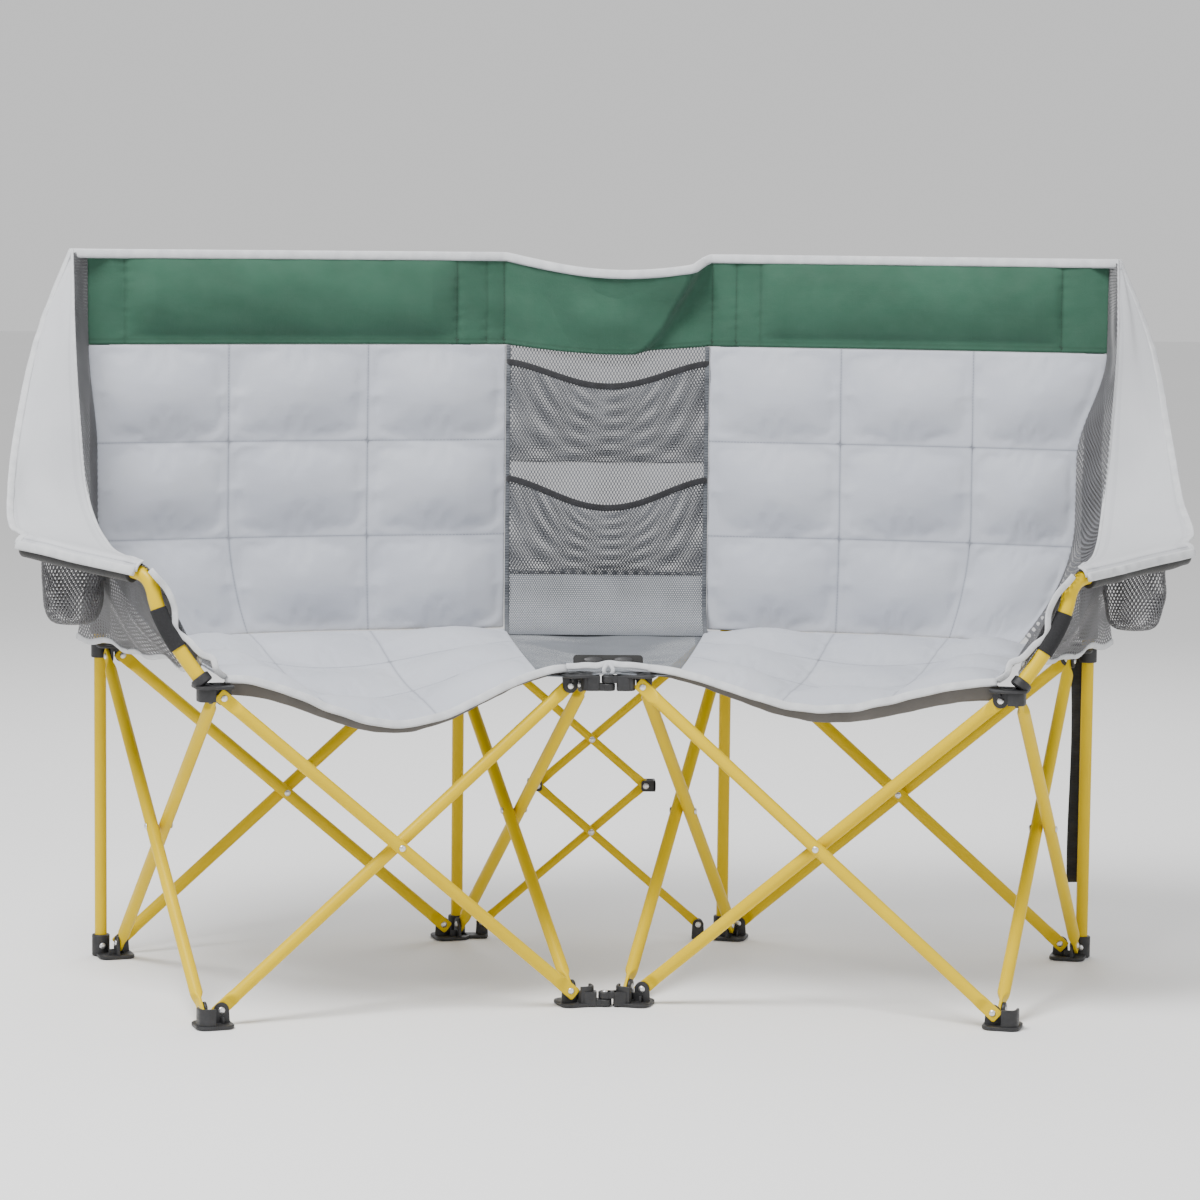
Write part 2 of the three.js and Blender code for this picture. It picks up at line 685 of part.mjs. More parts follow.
function addPosts(sideName, plan) {
  for (const [name, place] of Object.entries(plan.posts)) {
    const base = footPadThickness + touchGap;
    const geometry = rod(vec(0, 0), vec(0, 0, postTopHeight - base), postRadius, postFacets);
    const matrix = new THREE.Matrix4().makeTranslation(place.x, place.y, base);
    addPart(`${sideName}_${name}_post`, geometry, yellowPaint(), matrix);
  }
}

// The two-tier lattice between the back inner corners. Each thin tube runs over one and a half
// bays; the lower pair and the upper pair meet in a clip at each side.
function addLattice() {
  const y = plans.right.corners.back_inner.y;
  const clipHeight = footPivotHeight + latticeRise;
  const shape = (share, carriesRivet) => crossTubeGeometry({
    length: latticeLength, diameter: latticeTubeDiameter, flat: latticeTabThickness,
    width: latticeTabWidth, middle: latticeLength * share, carriesRivet, layer: latticeLayer,
    facets: latticeFacets,
  });
  const crossing = 2 / 3;
  const tiers = {
    lower: { startX: latticeHalfSpan, height: footPivotHeight, share: crossing, sides: { a: 1, b: -1 } },
    upper: { startX: latticeHalfSpan / 2, height: clipHeight, share: 1 - crossing, sides: { a: -1, b: 1 } },
  };
  for (const [tier, { startX, height, share, sides: startSides }] of Object.entries(tiers)) {
    for (const [name, side] of Object.entries(startSides)) {
      const start = vec(side * startX, y - side * latticeLayer, height);
      const direction = vec(-side * latticeRun, 0, latticeRise).normalize();
      const matrix = basisAt(start, direction, vec(0, side, 0));
      addPart(`lattice_${tier}_tube_${name}`, shape(share, name === 'b'), yellowPaint(), matrix);
    }
  }
  for (const [sideName, sign] of sides) {
    const halfDepth = latticeLayer + latticeTabThickness / 2 + slotClearance + cheekThickness;
    const outside = latticeTabWidth + cheekThickness / 2;
    const inside = latticeTabWidth / 2;
    const pin = vec(sign * latticeHalfSpan / 2, y, clipHeight);
    const body = new THREE.BoxGeometry(outside + inside, 2 * halfDepth, 2 * inside + cheekThickness);
    body.translate(pin.x + sign * (outside - inside) / 2, pin.y, pin.z);
    const slot = (layer) => {
      const depth = latticeTabThickness + 2 * slotClearance;
      const cut = new THREE.BoxGeometry(outside * 2, depth, 6 * inside);
      cut.translate(pin.x - sign * (outside - latticeTabWidth / 2 - cheekThickness), pin.y + layer, pin.z);
      return cut;
    };
    const rivet = rod(vec(pin.x, y - halfDepth - rivetHeadHeight, pin.z),
      vec(pin.x, y + halfDepth + rivetHeadHeight, pin.z), rivetDiameter / 2);
    const cutBody = joined([body], [slot(latticeLayer), slot(-latticeLayer)]);
    addPart(`${sideName}_lattice_clip`, joined([cutBody, rivet]), blackPlastic());
  }
}

// Padded cover. Sewn channels divide a pad into cells that swell between the seams.
const hump = (share) => Math.sin(Math.PI * share);
const cells = (share, count) => Math.abs(hump(share * count)) ** cellRoundness;
const padHalf = (u, v) => (
  padEdgeThickness / 2 + padCrown / 2 * cells(u, padColumns) * cells(v, padRows));
const forwardOf = (plan) => new THREE.Vector3().crossVectors(plan.front, UP).multiplyScalar(plan.sign);

// The surface of the back, from the inner post (u = 0) to the outer post (u = 1) at a height.
// Its lowest part draws in and comes forward towards the arm, like a bucket seat.
function backPoint(plan, u, height) {
  const forward = forwardOf(plan);
  const start = plan.posts.inner.clone().addScaledVector(plan.front, -plan.innerLap);
  const end = plan.posts.outer.clone().addScaledVector(plan.front, backPadLap);
  const share = (height - backPadBottomHeight) / (bandBottomHeight - backPadBottomHeight);
  const tuck = Math.max(0, 1 - share / bucketRiseShare) ** 2 * u ** 3;
  const postSpan = plan.posts.inner.distanceTo(plan.posts.outer);
  const pastPost = u * start.distanceTo(end) - plan.innerLap;
  const sag = backSag * hump(THREE.MathUtils.clamp(pastPost / postSpan, 0, 1)) * (1 - share / 2);
  const point = start.lerp(end, u);
  point.addScaledVector(plan.front, -bucketTuck * tuck);
  point.addScaledVector(forward, backStandoff + bucketForward * tuck - sag);
  return lifted(point, height);
}

// The seat: slung between the four hubs, sagging most at its front edge
const seatLevel = hubPlateTop + seatLift + padEdgeThickness / 2;

function seatRear(plan, u) {
  const edge = backPoint(plan, u, backPadBottomHeight);
  edge.addScaledVector(forwardOf(plan), padEdgeThickness + seamGap);
  return lifted(edge, seatLevel + seatRearRise * u);
}

function seatFront(plan, u) {
  const inner = along(plan.corners.front_inner, plan.front, seatCornerLap);
  const outer = along(plan.corners.front_outer, plan.front, -seatCornerLap);
  const edge = inner.lerp(outer, u);
  edge.addScaledVector(plan.side, seatSetback - seatFrontBow * hump(u));
  return lifted(edge, seatLevel - plan.frontSag * hump(u) ** 2);
}

function seatPoint(plan, u, v) {
  const point = seatFront(plan, u).lerp(seatRear(plan, u), v);
  point.z -= seatMiddleSag * (hump(u) * hump(v)) ** 2;
  return point;
}

function addPads(sideName, plan) {
  const steps = [padColumns * cellSteps, padRows * cellSteps];
  const back = (u, v) => backPoint(plan, u,
    THREE.MathUtils.lerp(backPadBottomHeight, bandBottomHeight - touchGap, v));
  const seat = (u, v) => seatPoint(plan, u, v);
  addPart(`${sideName}_back_pad`, sheet(back, ...steps, padHalf), greyCloth());
  addPart(`${sideName}_seat_pad`, sheet(seat, ...steps, padHalf), greyCloth());
}

// The headrest band runs across both seats and hangs slack between the inner posts
function bandPoint(share, height) {
  if (share < bandSeatShare) {
    return backPoint(plans.left, 1 - share / bandSeatShare, height);
  }
  if (share > 1 - bandSeatShare) {
    return backPoint(plans.right, (share - 1 + bandSeatShare) / bandSeatShare, height);
  }
  const across = (share - bandSeatShare) / (1 - 2 * bandSeatShare);
  const rise = (height - bandBottomHeight) / (topHemHeight - bandBottomHeight);
  const point = backPoint(plans.left, 0, height).lerp(backPoint(plans.right, 0, height), across);
  point.y -= bandSlack * hump(across) * rise;
  point.z -= bandDip * hump(across) * rise;
  return point;
}

function addBand() {
  const surface = (u, v) => bandPoint(u, THREE.MathUtils.lerp(bandBottomHeight, topHemHeight, v));
  const half = (u, v) => {
    const seat = Math.min(u, 1 - u) / bandSeatShare;
    return clothThickness / 2 + (seat < 1 ? bandCrown / 2 * hump(seat) * hump(v) : 0);
  };
  addPart('headrest_band', sheet(surface, ...clothSteps.band, half), greenCloth());
}

// The centre mesh: a panel down from the band between the two backs, with two gathered pockets
// sewn on its front, and a second panel forward between the seats to the linked front hubs
const meshHalf = () => meshThickness / 2;

function meshPoint(u, height) {
  const left = backPoint(plans.left, 0, height).add(vec(seamGap, 0));
  const right = backPoint(plans.right, 0, height).add(vec(-seamGap, 0));
  const fold = meshFold * Math.sin(meshFoldCount * Math.PI * u) * hump(u);
  return left.lerp(right, u).add(vec(0, fold));
}

function addCentreMesh() {
  const low = hubPlateTop + meshThickness + 2 * seamGap;
  const high = bandBottomHeight - 2 * touchGap;
  const panel = (u, v) => meshPoint(u, THREE.MathUtils.lerp(low, high, v));
  const pocket = ({ drop, depth, dip }) => (u, v) => {
    const tall = bandBottomHeight - backPadBottomHeight;
    const hem = bandBottomHeight - drop * tall;
    const low = hem - depth * tall;
    const point = meshPoint(u, THREE.MathUtils.lerp(low, hem - dip * tall * hump(u), v));
    point.y -= pocketBulge * (1 - Math.abs(2 * u - 1) ** 3) * (1 - (1 - v) ** 3);
    return point;
  };
  const pocketHalf = () => meshThickness * pocketHemShare;
  const pockets = pocketShares.map((shape) => sheet(pocket(shape), ...clothSteps.pocket, pocketHalf));
  const panelSheet = sheet(panel, ...clothSteps.backMesh, meshHalf);
  addPart('centre_back_mesh', joined([panelSheet, ...pockets]), darkMesh());

  const level = hubPlateTop + meshLift;
  const between = (u, v) => {
    const left = seatFront(plans.left, 0).lerp(seatRear(plans.left, 0), v).add(vec(seamGap, 0));
    const right = seatFront(plans.right, 0).lerp(seatRear(plans.right, 0), v).add(vec(-seamGap, 0));
    return lifted(left.lerp(right, u), level - meshSeatSag * (hump(u) * hump(v)) ** 4);
  };
  addPart('centre_seat_mesh', sheet(between, ...clothSteps.seatMesh, meshHalf), darkMesh());
}

// Points beside an arm, as shares: across from the arm's bend to the wing's outermost edge, back
// from the bend to the outer post, and up, 0 at the hubs, 1 at the arm and 2 at the top hem
function besideArm(plan, arm, [acrossShare, backShare, upShare]) {
  const aboveArm = THREE.MathUtils.lerp(arm.bend.z, topHemHeight, upShare - 1);
  const belowArm = THREE.MathUtils.lerp(hubPlateTop, arm.bend.z, upShare);
  return vec(
    arm.bend.x + plan.sign * wingReach * acrossShare,
    THREE.MathUtils.lerp(arm.bend.y, plan.posts.outer.y, backShare),
    upShare > 1 ? aboveArm : belowArm);
}

const throughPoints = (points) => new THREE.CatmullRomCurve3(points, false, 'centripetal');

// The wing: a cloth fin from the back's outer edge, over the arm and out to its tip
const wingSeamShares = [
  [0.59, 0.885, 2.0], [0.55, 0.80, 1.72], [0.515, 0.755, 1.45], [0.46, 0.67, 1.19], [0.30, 0.40, 1.055],
];
const wingEdgeShares = [
  [0.63, 0.905, 2.0], [0.86, 0.85, 1.72], [0.965, 0.73, 1.43], [0.995, 0.55, 1.21], [0.945, 0.40, 1.115],
];

function addWing(sideName, plan, arm) {
  const clear = armRadius + clothThickness / 2 + touchGap;
  const overArm = (share) => arm.bend.clone().lerp(arm.tip, share).add(vec(0, 0, clear));
  const shared = (shares) => shares.map((share) => besideArm(plan, arm, share));
  const seam = throughPoints([...shared(wingSeamShares), overArm(wingStartShare)]);
  const edge = throughPoints([...shared(wingEdgeShares), overArm(1)]);
  const surface = (u, v) => {
    const point = seam.getPoint(v).lerp(edge.getPoint(v), u);
    point.x += plan.sign * wingBulge * hump(u) * hump(v);
    return point;
  };
  addPart(`${sideName}_wing`, sheet(surface, ...clothSteps.wing, () => clothThickness / 2), greyCloth());
}

// The padded back's outer edge and then the seat's outer edge, from the top forward
function padEdgePoint(plan, share) {
  const sideways = vec(plan.sign, 0);
  const off = meshThickness / 2 + gussetGap;
  if (share < gussetBackShare) {
    const height = THREE.MathUtils.lerp(topHemHeight - padEdgeThickness,
      backPadBottomHeight + padEdgeThickness, share / gussetBackShare);
    return backPoint(plan, 1, height).addScaledVector(sideways, off);
  }
  const forward = (share - gussetBackShare) / (1 - gussetBackShare);
  return seatPoint(plan, 1, 1 - forward).addScaledVector(sideways, off).add(vec(0, 0, padEdgeThickness));
}

// The cloth beside a seat: a mesh gusset from the padded edge to the wing's seam and the arm,
// and a panel that goes on from it behind the arm tube and back to the outer post
const gussetShares = [
  [0.58, 0.885, 1.97], [0.53, 0.80, 1.72], [0.49, 0.745, 1.42], [0.425, 0.63, 1.16], [0.25, 0.36, 1.02],
];
const panelTopShares = [[0.075, 0.12, 0.94], [0.29, 0.31, 1.0], [0.46, 0.57, 1.03], [0.58, 0.91, 0.80]];
const panelLowShares = [[-0.25, 0.09, 0.10], [-0.07, 0.29, 0.10], [0.25, 0.61, 0.10], [0.62, 0.94, 0.12]];

function addSideCloth(sideName, plan, arm) {
  const clear = armRadius + clothThickness + 3 * seamGap;
  const insideArm = (share) => arm.rise.getPoint(share).add(vec(-plan.sign * clear, 0, 0));
  const shared = (shares) => shares.map((share) => besideArm(plan, arm, share));
  const [high, middle, low] = gussetArmShares;
  const outer = throughPoints([
    ...shared(gussetShares), insideArm(high), insideArm(middle), insideArm(low)]);
  const gusset = (u, v) => padEdgePoint(plan, v).lerp(outer.getPoint(v), u);
  const panelTop = throughPoints([insideArm(high), ...shared(panelTopShares)]);
  const panelLow = throughPoints([insideArm(low), ...shared(panelLowShares)]);
  const panel = (u, v) => {
    const point = panelLow.getPoint(u).lerp(panelTop.getPoint(u), v);
    point.x += plan.sign * sidePanelBulge * hump(v) * hump(u);
    return point;
  };
  const sheets = [
    sheet(gusset, ...clothSteps.gusset, meshHalf),
    sheet(panel, ...clothSteps.panel, () => clothThickness / 2),
  ];
  addPart(`${sideName}_side_cloth`, joined(sheets), darkMesh());
  return panel;
}

// The cup holder hangs on the outside of the side panel, by its rim
function addCupHolder(sideName, plan, panel) {
  const touching = panel(cupPlaceShare, 1);
  const edge = panel(cupPlaceShare + cupPlaceStepShare, 1).sub(panel(cupPlaceShare - cupPlaceStepShare, 1));
  const away = new THREE.Vector3().crossVectors(edge, UP).multiplyScalar(plan.sign).normalize();
  const rimReach = cupTopDiameter / 2 * Math.cos(Math.PI / cupFacets) + clothThickness / 2 - cupSettle;
  const centre = touching.addScaledVector(away, rimReach);
  const profile = [
    [0, 0], [cupBottomDiameter / 2, 0], [cupTopDiameter / 2, cupHeight],
    [cupTopDiameter / 2 - cupWall, cupHeight], [cupBottomDiameter / 2 - cupWall, cupWall], [0, cupWall],
  ].map(([radius, height]) => new THREE.Vector2(radius, height));
  const cup = new THREE.LatheGeometry(profile, cupFacets);
  cup.rotateX(Math.PI / 2);
  cup.translate(centre.x, centre.y, centre.z - cupHeight);
  addPart(`${sideName}_cup_holder`, geometryOf(solidOf(cup)), darkMesh());
}

for (const [sideName] of sides) {
  const plan = plans[sideName];
  addCrossedTubes(sideName, plan);
  addFeet(sideName, plan);
  addHubs(sideName, plan);
  addPosts(sideName, plan);
  addArm(sideName, arms[sideName]);
  addPads(sideName, plan);
  addWing(sideName, plan, arms[sideName]);
  const panel = addSideCloth(sideName, plan, arms[sideName]);
  addCupHolder(sideName, plan, panel);
}
addLattice();
addBand();
addCentreMesh();

// The origin is on the floor, under the middle of the whole loveseat
loveseat.updateMatrixWorld(true);
const bounds = new THREE.Box3().setFromObject(loveseat, true);
const centreY = (bounds.min.y + bounds.max.y) / 2;
for (const mesh of loveseat.children) {
  mesh.position.y -= centreY;
}

export default loveseat;
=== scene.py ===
import json
import math
from collections import namedtuple

import bpy
import numpy as np
from mathutils import Matrix, Vector


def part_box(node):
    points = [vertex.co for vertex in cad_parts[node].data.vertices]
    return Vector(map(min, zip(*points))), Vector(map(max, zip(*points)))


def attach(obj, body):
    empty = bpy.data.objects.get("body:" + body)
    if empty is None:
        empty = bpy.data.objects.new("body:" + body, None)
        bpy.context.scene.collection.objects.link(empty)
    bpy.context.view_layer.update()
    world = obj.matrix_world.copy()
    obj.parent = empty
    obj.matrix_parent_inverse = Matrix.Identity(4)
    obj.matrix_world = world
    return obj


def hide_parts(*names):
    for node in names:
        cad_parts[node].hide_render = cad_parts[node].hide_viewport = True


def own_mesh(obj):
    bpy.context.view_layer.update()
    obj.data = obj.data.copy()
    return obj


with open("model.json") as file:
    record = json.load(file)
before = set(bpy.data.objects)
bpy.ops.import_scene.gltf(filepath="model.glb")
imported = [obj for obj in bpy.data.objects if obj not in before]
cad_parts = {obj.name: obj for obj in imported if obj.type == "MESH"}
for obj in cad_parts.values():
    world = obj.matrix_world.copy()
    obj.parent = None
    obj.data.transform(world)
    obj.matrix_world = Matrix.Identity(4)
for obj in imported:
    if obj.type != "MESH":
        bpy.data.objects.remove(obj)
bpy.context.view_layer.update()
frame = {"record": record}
MM = 0.001

# Camera, at the photograph's viewing angle
CAMERA_PLACE = (-0.23294, -5.0557, 1.028)
CAMERA_LENS = 112.44
CAMERA_SENSOR = 36
CAMERA_YAW = 0.04522
CAMERA_PITCH = 0.09948
CAMERA_ROLL = 0.01052

# Room
WORLD_STRENGTH = 0.8
FLOOR_HALF_SIZE = 30
FLOOR_DROP = 0.5 * MM
FLOOR_COLOURS = (0.86, 0.86, 0.86), (0.89, 0.89, 0.89)
LIGHTS = {
    "key": {"place": (-1.5, -1.7, 3.9), "target": (0, 0, 0.6), "size": 1.5, "power": 260},
    "fill": {"place": (2.8, -2.4, 1.8), "target": (0, 0, 0.5), "size": 2.6, "power": 30},
    "back": {"place": (0.4, 2.8, 2.6), "target": (0, 0, 0.6), "size": 2.4, "power": 45},
}

# Plan of one seat frame
CROSS_SPAN = 470 * MM
CROSS_RISE = 405 * MM
PIVOT_INSET = 15 * MM
FRONT_SWEEP = math.radians(17)
SIDE_SPREAD_SHARE = 1 / 3
LINK_HALF_WIDTH = 34 * MM
FOOT_PIVOT_HEIGHT = 21 * MM
HUB_PLATE_DROP = 12 * MM
HUB_PLATE_THICKNESS = 4 * MM
LAYER_OFFSET = 9 * MM
POST_INSET = 12 * MM
HUB_PIVOT_HEIGHT = FOOT_PIVOT_HEIGHT + CROSS_RISE
HUB_PLATE_LOW = HUB_PIVOT_HEIGHT + HUB_PLATE_DROP
HUB_PLATE_TOP = HUB_PLATE_LOW + HUB_PLATE_THICKNESS
FACE_LENGTH = CROSS_SPAN + 2 * PIVOT_INSET

# Tubes: radius, half width and half thickness of the pressed tab, and its layer beside the pivot
Tube = namedtuple("Tube", "radius tab_width tab_half layer")
FRAME_TUBE = Tube(8.5 * MM, 9 * MM, 2.5 * MM, LAYER_OFFSET)
LATTICE_TUBE = Tube(6 * MM, 6.5 * MM, 2 * MM, 6.5 * MM)
TAB_END_STATIONS = ((-1, 0.78), (-0.93, 0.93), (-0.75, 1), (0, 1))
TAB_REACH = 12 * MM
TAB_TAPER = 16 * MM
POST_RADIUS = 8.5 * MM
POST_TOP = 976 * MM
ROD_EDGE = 0.6 * MM

# Rivets, ears, plates and bosses of the feet and hubs
RIVET_HEAD_RADIUS = 4.5 * MM
RIVET_HEAD_HEIGHT = 2.2 * MM
EAR_THICKNESS = 4 * MM
EAR_RADIUS = 10 * MM
EAR_FLARE = 1.5 * MM
EAR_CLEARANCE = 0.4 * MM
RIB_HALF_SIZE = (6 * MM, 1.6 * MM)
RIB_HEIGHT_SHARE = 0.62
PAD_HALF_WIDTH = 25 * MM
PAD_CORNER = 13 * MM
PAD_SHIFT = 4 * MM
FOOT_PLATE_THICKNESS = 5 * MM
BOSS_RADIUS = 12.5 * MM
FOOT_BOSS_HEIGHT = 30 * MM
HUB_BOSS_DROP = 20 * MM
WALL_INSET = 5 * MM
WALL_HALF_THICKNESS = 2 * MM
WALL_PLAN = ((0.05, 1.0), (0.45, 1.0), (0.78, 0.94), (0.94, 0.78), (1.0, 0.45), (1.0, 0.05))
LINK_PIN_SETBACK = 10 * MM
LINK_ROOT = 27 * MM
LATTICE_CHEEK_RADIUS = 8 * MM
LATTICE_CHEEK_THICKNESS = 3 * MM
LATTICE_LUG_HALF_WIDTH = 12 * MM

# Feet and hubs: heights of their plate, boss, corner wall and link
Level = namedtuple("Level", "kind upright pivot plate boss wall link")
LEVELS = (
    Level("foot", True, FOOT_PIVOT_HEIGHT, (0, FOOT_PLATE_THICKNESS), (0, FOOT_BOSS_HEIGHT),
          (FOOT_PLATE_THICKNESS / 2, 27 * MM), (1 * MM, 20 * MM)),
    Level("hub", False, HUB_PIVOT_HEIGHT, (HUB_PLATE_LOW, HUB_PLATE_TOP),
          (HUB_PLATE_TOP - HUB_BOSS_DROP, HUB_PLATE_TOP), (HUB_PLATE_LOW - 16 * MM, HUB_PLATE_LOW + 1 * MM),
          (HUB_PLATE_TOP - 21 * MM, HUB_PLATE_TOP - 1 * MM)),
)

# Arms
ARM_RADIUS = 9.5 * MM
SLEEVE_RADIUS = 11 * MM
ARM_ROOT_RISE = 7 * MM
ARM_ROOT_SHIFT = 12 * MM
ARM_LEAN = 65 * MM
ARM_BEND_RUN = 17 * MM
ARM_RISE = 132 * MM
ARM_REACH = 173 * MM
ARM_SETBACK = 140 * MM
ARM_TIP_RISE = 23 * MM
ARM_BEND_RADIUS = 26 * MM
ARM_BOW = 20 * MM
CHANNEL_RADIUS = 12 * MM
CHANNEL_DROOP = 3.5 * MM
CHANNEL_END = 2 * MM
SOCKET_RADIUS = 13 * MM
SOCKET_LENGTH = 5 * MM
SLEEVE_SHARES = (0.32, 0.80)

# Padded cloth
TOP_HEM = 989 * MM
BAND_BOTTOM = 858 * MM
PAD_BOTTOM = 450 * MM
PAD_COLUMNS = 3
PAD_ROWS = 3
PAD_EDGE = 3.5 * MM
BACK_PAD_LAP = 20 * MM
BACK_INNER_LAPS = {"right": 25 * MM, "left": 62 * MM}
BACK_STANDOFF = 18.8 * MM
BACK_SAG = 24 * MM
BACK_NARROWING_SHARES = {"right": 0.07, "left": 0.02}
NARROWING_RUN = 150 * MM
BUCKET_TUCK = 88 * MM
BUCKET_FORWARD = 46 * MM
BUCKET_RISE_SHARE = 0.42
SEAT_FRONT_SAGS = {"right": 42 * MM, "left": 64 * MM}
SEAT_LIFT = 2.65 * MM
SEAT_MIDDLE_SAG = 14 * MM
SEAT_FRONT_BOW = 14 * MM
SEAT_SETBACK = 6 * MM
SEAT_CORNER_LAP = 20 * MM
SEAT_REAR_RISE = 3 * MM
SEAT_INNER_SHARE = 0.085
SEAT_LEVEL = HUB_PLATE_TOP + SEAT_LIFT + PAD_EDGE
SEAM_GAP = 1.5 * MM
PAD_FLAT = (0.53, 0.41)
BACK_SEWN = (0.55, 0.408)
SEAT_SEWN = (0.46, 0.43)
QUILT_STEP = 5.5 * MM
QUILT_FRAMES = 20
QUILT_CLOTH = {"vertex_group_mass": "seams", "use_pressure": True, "uniform_pressure_force": 4.0,
               "shrink_min": -0.035, "quality": 4, "mass": 0.2, "bending_stiffness": 0.25, "air_damping": 2.0}
QUILT_CAP = 18 * MM
QUILT_START = 2.2 * MM
QUILT_RIM_SHARE = 0.3
QUILT_SLIDE = 4 * MM
SEAM_HALF_WIDTH = 1.2 * MM
PUCKER_REACH = 14 * MM
PUCKER_HEIGHT = 1.0 * MM
LONG_FOLD = 1.2 * MM

# Headrest band
BAND_WIDTH = 1.30
BAND_SEAT_SHARE = 0.39
BAND_SLACK = 34 * MM
BAND_DIP = 26 * MM
BAND_LOW_SLACK_SHARE = 0.3
BAND_LOW_DIP_SHARE = 0.5
BAND_PILLOW = 15 * MM
BAND_FOLD = 1.8 * MM
SLACK_FOLD = 5 * MM
PILLOW_SPANS = ((0.034, 0.343), (0.660, 0.955))
BAND_STITCH_SHARES = (0.034, 0.343, 0.371, 0.388, 0.612, 0.636, 0.660, 0.955)
BAND_HEM = 7 * MM

# Nets between the seats
CLOTH = 1.2 * MM
NET_THICKNESS = 0.6 * MM
CENTRE_WIDTH = 0.29
CENTRE_CORNER = 55 * MM
CORNER_SHARE = 0.21
CENTRE_BOTTOM = HUB_PLATE_TOP + 4.5 * MM
SEAT_NET_SIZE = (0.25, 0.47)
MESH_SEAT_SAG = 14 * MM
POCKETS = {"upper": (833 * MM, 690 * MM, 33 * MM), "lower": (666 * MM, 528 * MM, 40 * MM)}
POCKET_WIDTH = 1.05 * CENTRE_WIDTH
POCKET_BULGE = 19.2 * MM
POCKET_CRUMPLE = 3 * MM

# Wings, gussets and side panels: shares across to the wing's edge, back to the outer post, and up
GUSSET_BACK_SHARE = 0.55
GUSSET_ARM_SHARES = (0.96, 0.2)
GUSSET_SPLIT = 0.56
GUSSET_INSIDE = 0.012
FRONT_EDGE_SHARE = 0.71
WING_REACH = 204 * MM
WING_BULGE = 10 * MM
WING_START_SHARE = 0.06
WING_SIZE = (0.13, 0.48)
WRAP_SHARE = 0.955
WRAP_TURN = math.radians(78)
WRAP_RADIUS = CHANNEL_RADIUS + 2.5 * MM
SIDE_BULGE = 20 * MM
WING_SEAM_SHARES = {
    "left": ((0.67, 0.885, 2.0), (0.64, 0.80, 1.72), (0.60, 0.755, 1.45), (0.53, 0.67, 1.19),
             (0.34, 0.40, 1.055)),
    "right": ((0.61, 0.885, 2.0), (0.585, 0.80, 1.72), (0.54, 0.755, 1.45), (0.465, 0.67, 1.19),
              (0.31, 0.40, 1.055)),
}
WING_EDGE_SHARES = {
    "left": ((0.68, 0.895, 2.0), (0.885, 0.85, 1.72), (0.99, 0.73, 1.43), (1.005, 0.55, 1.21),
             (0.955, 0.40, 1.115)),
    "right": ((0.625, 0.895, 2.0), (0.835, 0.85, 1.72), (0.91, 0.73, 1.43), (0.925, 0.55, 1.21),
              (0.93, 0.40, 1.115)),
}
PANEL_TOP_SHARES = ((0.075, 0.12, 0.94), (0.29, 0.31, 1.0), (0.46, 0.57, 1.03), (0.58, 0.91, 0.80))
PANEL_LOW_SHARES = ((-0.25, 0.09, 0.10), (-0.07, 0.29, 0.10), (0.25, 0.61, 0.10), (0.655, 0.94, 0.075))

# The jagged edge beside the arm: share of the arm's rise, then inwards, forward and up in mm
ARM_FRONT_STEPS = ((0.86, 20, 8, 8), (0.72, 19, 6, -2), (0.60, 15, 4, -8), (0.44, 22, 4, -4),
                   (0.28, 27, 6, -2), (0.20, 34, 8, 2), (0.10, 30, 6, 0))

# Cups: height share and radius share from the middle of the bottom to the rim
CUP_TOP_RADIUS = 41 * MM
CUP_BOTTOM_RADIUS = 35 * MM
CUP_HEIGHT = 92 * MM
CUP_PROFILE = ((0.0, 0.02), (0.0, 0.40), (0.015, 0.66), (0.055, 0.84), (0.12, 0.955), (0.24, 1.04),
               (0.45, 1.09), (0.72, 1.06), (1.0, 1.0))
CUP_SIDES = 56
CUP_RINGS = 26
CUP_CRUMPLE = 0.045

# Trims: half width, half thickness, height of the waves and their seed
TOP_HEM_TRIM = (6.5 * MM, 4 * MM, 0.8 * MM, 5)
NET_EDGE_TRIM = (3.2 * MM, 1.6 * MM, 1.2 * MM, 45)
POCKET_TRIM = (4.5 * MM, 1.1 * MM, 0.6 * MM)
WING_EDGE_TRIM = (5 * MM, 1.9 * MM, 0.5 * MM, 71)
WING_ARM_TRIM = (6 * MM, 2.6 * MM, 1.6 * MM, 73)
WING_CORD_TRIM = (2.2 * MM, 1.5 * MM, 0.4 * MM, 75)
SIDE_TRIM = (4.5 * MM, 1.8 * MM, 0.8 * MM, 95)
ARM_FRONT_TRIM = (4.2 * MM, 2.0 * MM, 1.2 * MM, 97)
SEAT_FRONT_TRIM = (5.5 * MM, 2.6 * MM, 1.4 * MM)
LINING_TRIM = (1.2 * MM, 1.2 * MM, 112)
CUP_RIM_TRIM = (4.5 * MM, 1.2 * MM)
CENTRE_FRONT_TRIM = (4.5 * MM, 2 * MM)
KNOT_TRIM = (2.6 * MM, 1.8 * MM)
STRAP_TRIM = (12 * MM, 1.2 * MM)
LINING_DROPS = {"right": (8 * MM, 0.8), "left": (7 * MM, 2.0)}

# Details of the materials
# Painted shade beside the seams of woven cloth: its half width and strength
SEAM_SHADE_HALF_WIDTH = 3.2 * MM
SEAM_SHADE_SHARE = 0.5
STITCH_HALF_WIDTH = 0.6 * MM
STITCH_PITCH = 4.5 * MM
STITCH_DASH_SHARE = 0.65
WEAVE_PITCH = 1.1 * MM
RIPSTOP_PITCH = 6.5 * MM
NET_PITCH = 4.6 * MM
NET_FINE_PITCH = 3.4 * MM
NET_SLANT = 0.62
LOWER_NET_TOP = 535 * MM
CUP_NET_PITCH = 5.6 * MM

RIPPLE_WAVES = 7
NORMAL_STEP = 1e-3
SLING = "seat_sling"
CENTRE_BODY = "right_back_inner_foot"
SIDES = {"right": 1, "left": -1}


def vec(x, y, z=0.0):
    return np.array([x, y, z], float)


X, Y, UP = vec(1, 0), vec(0, 1), vec(0, 0, 1)


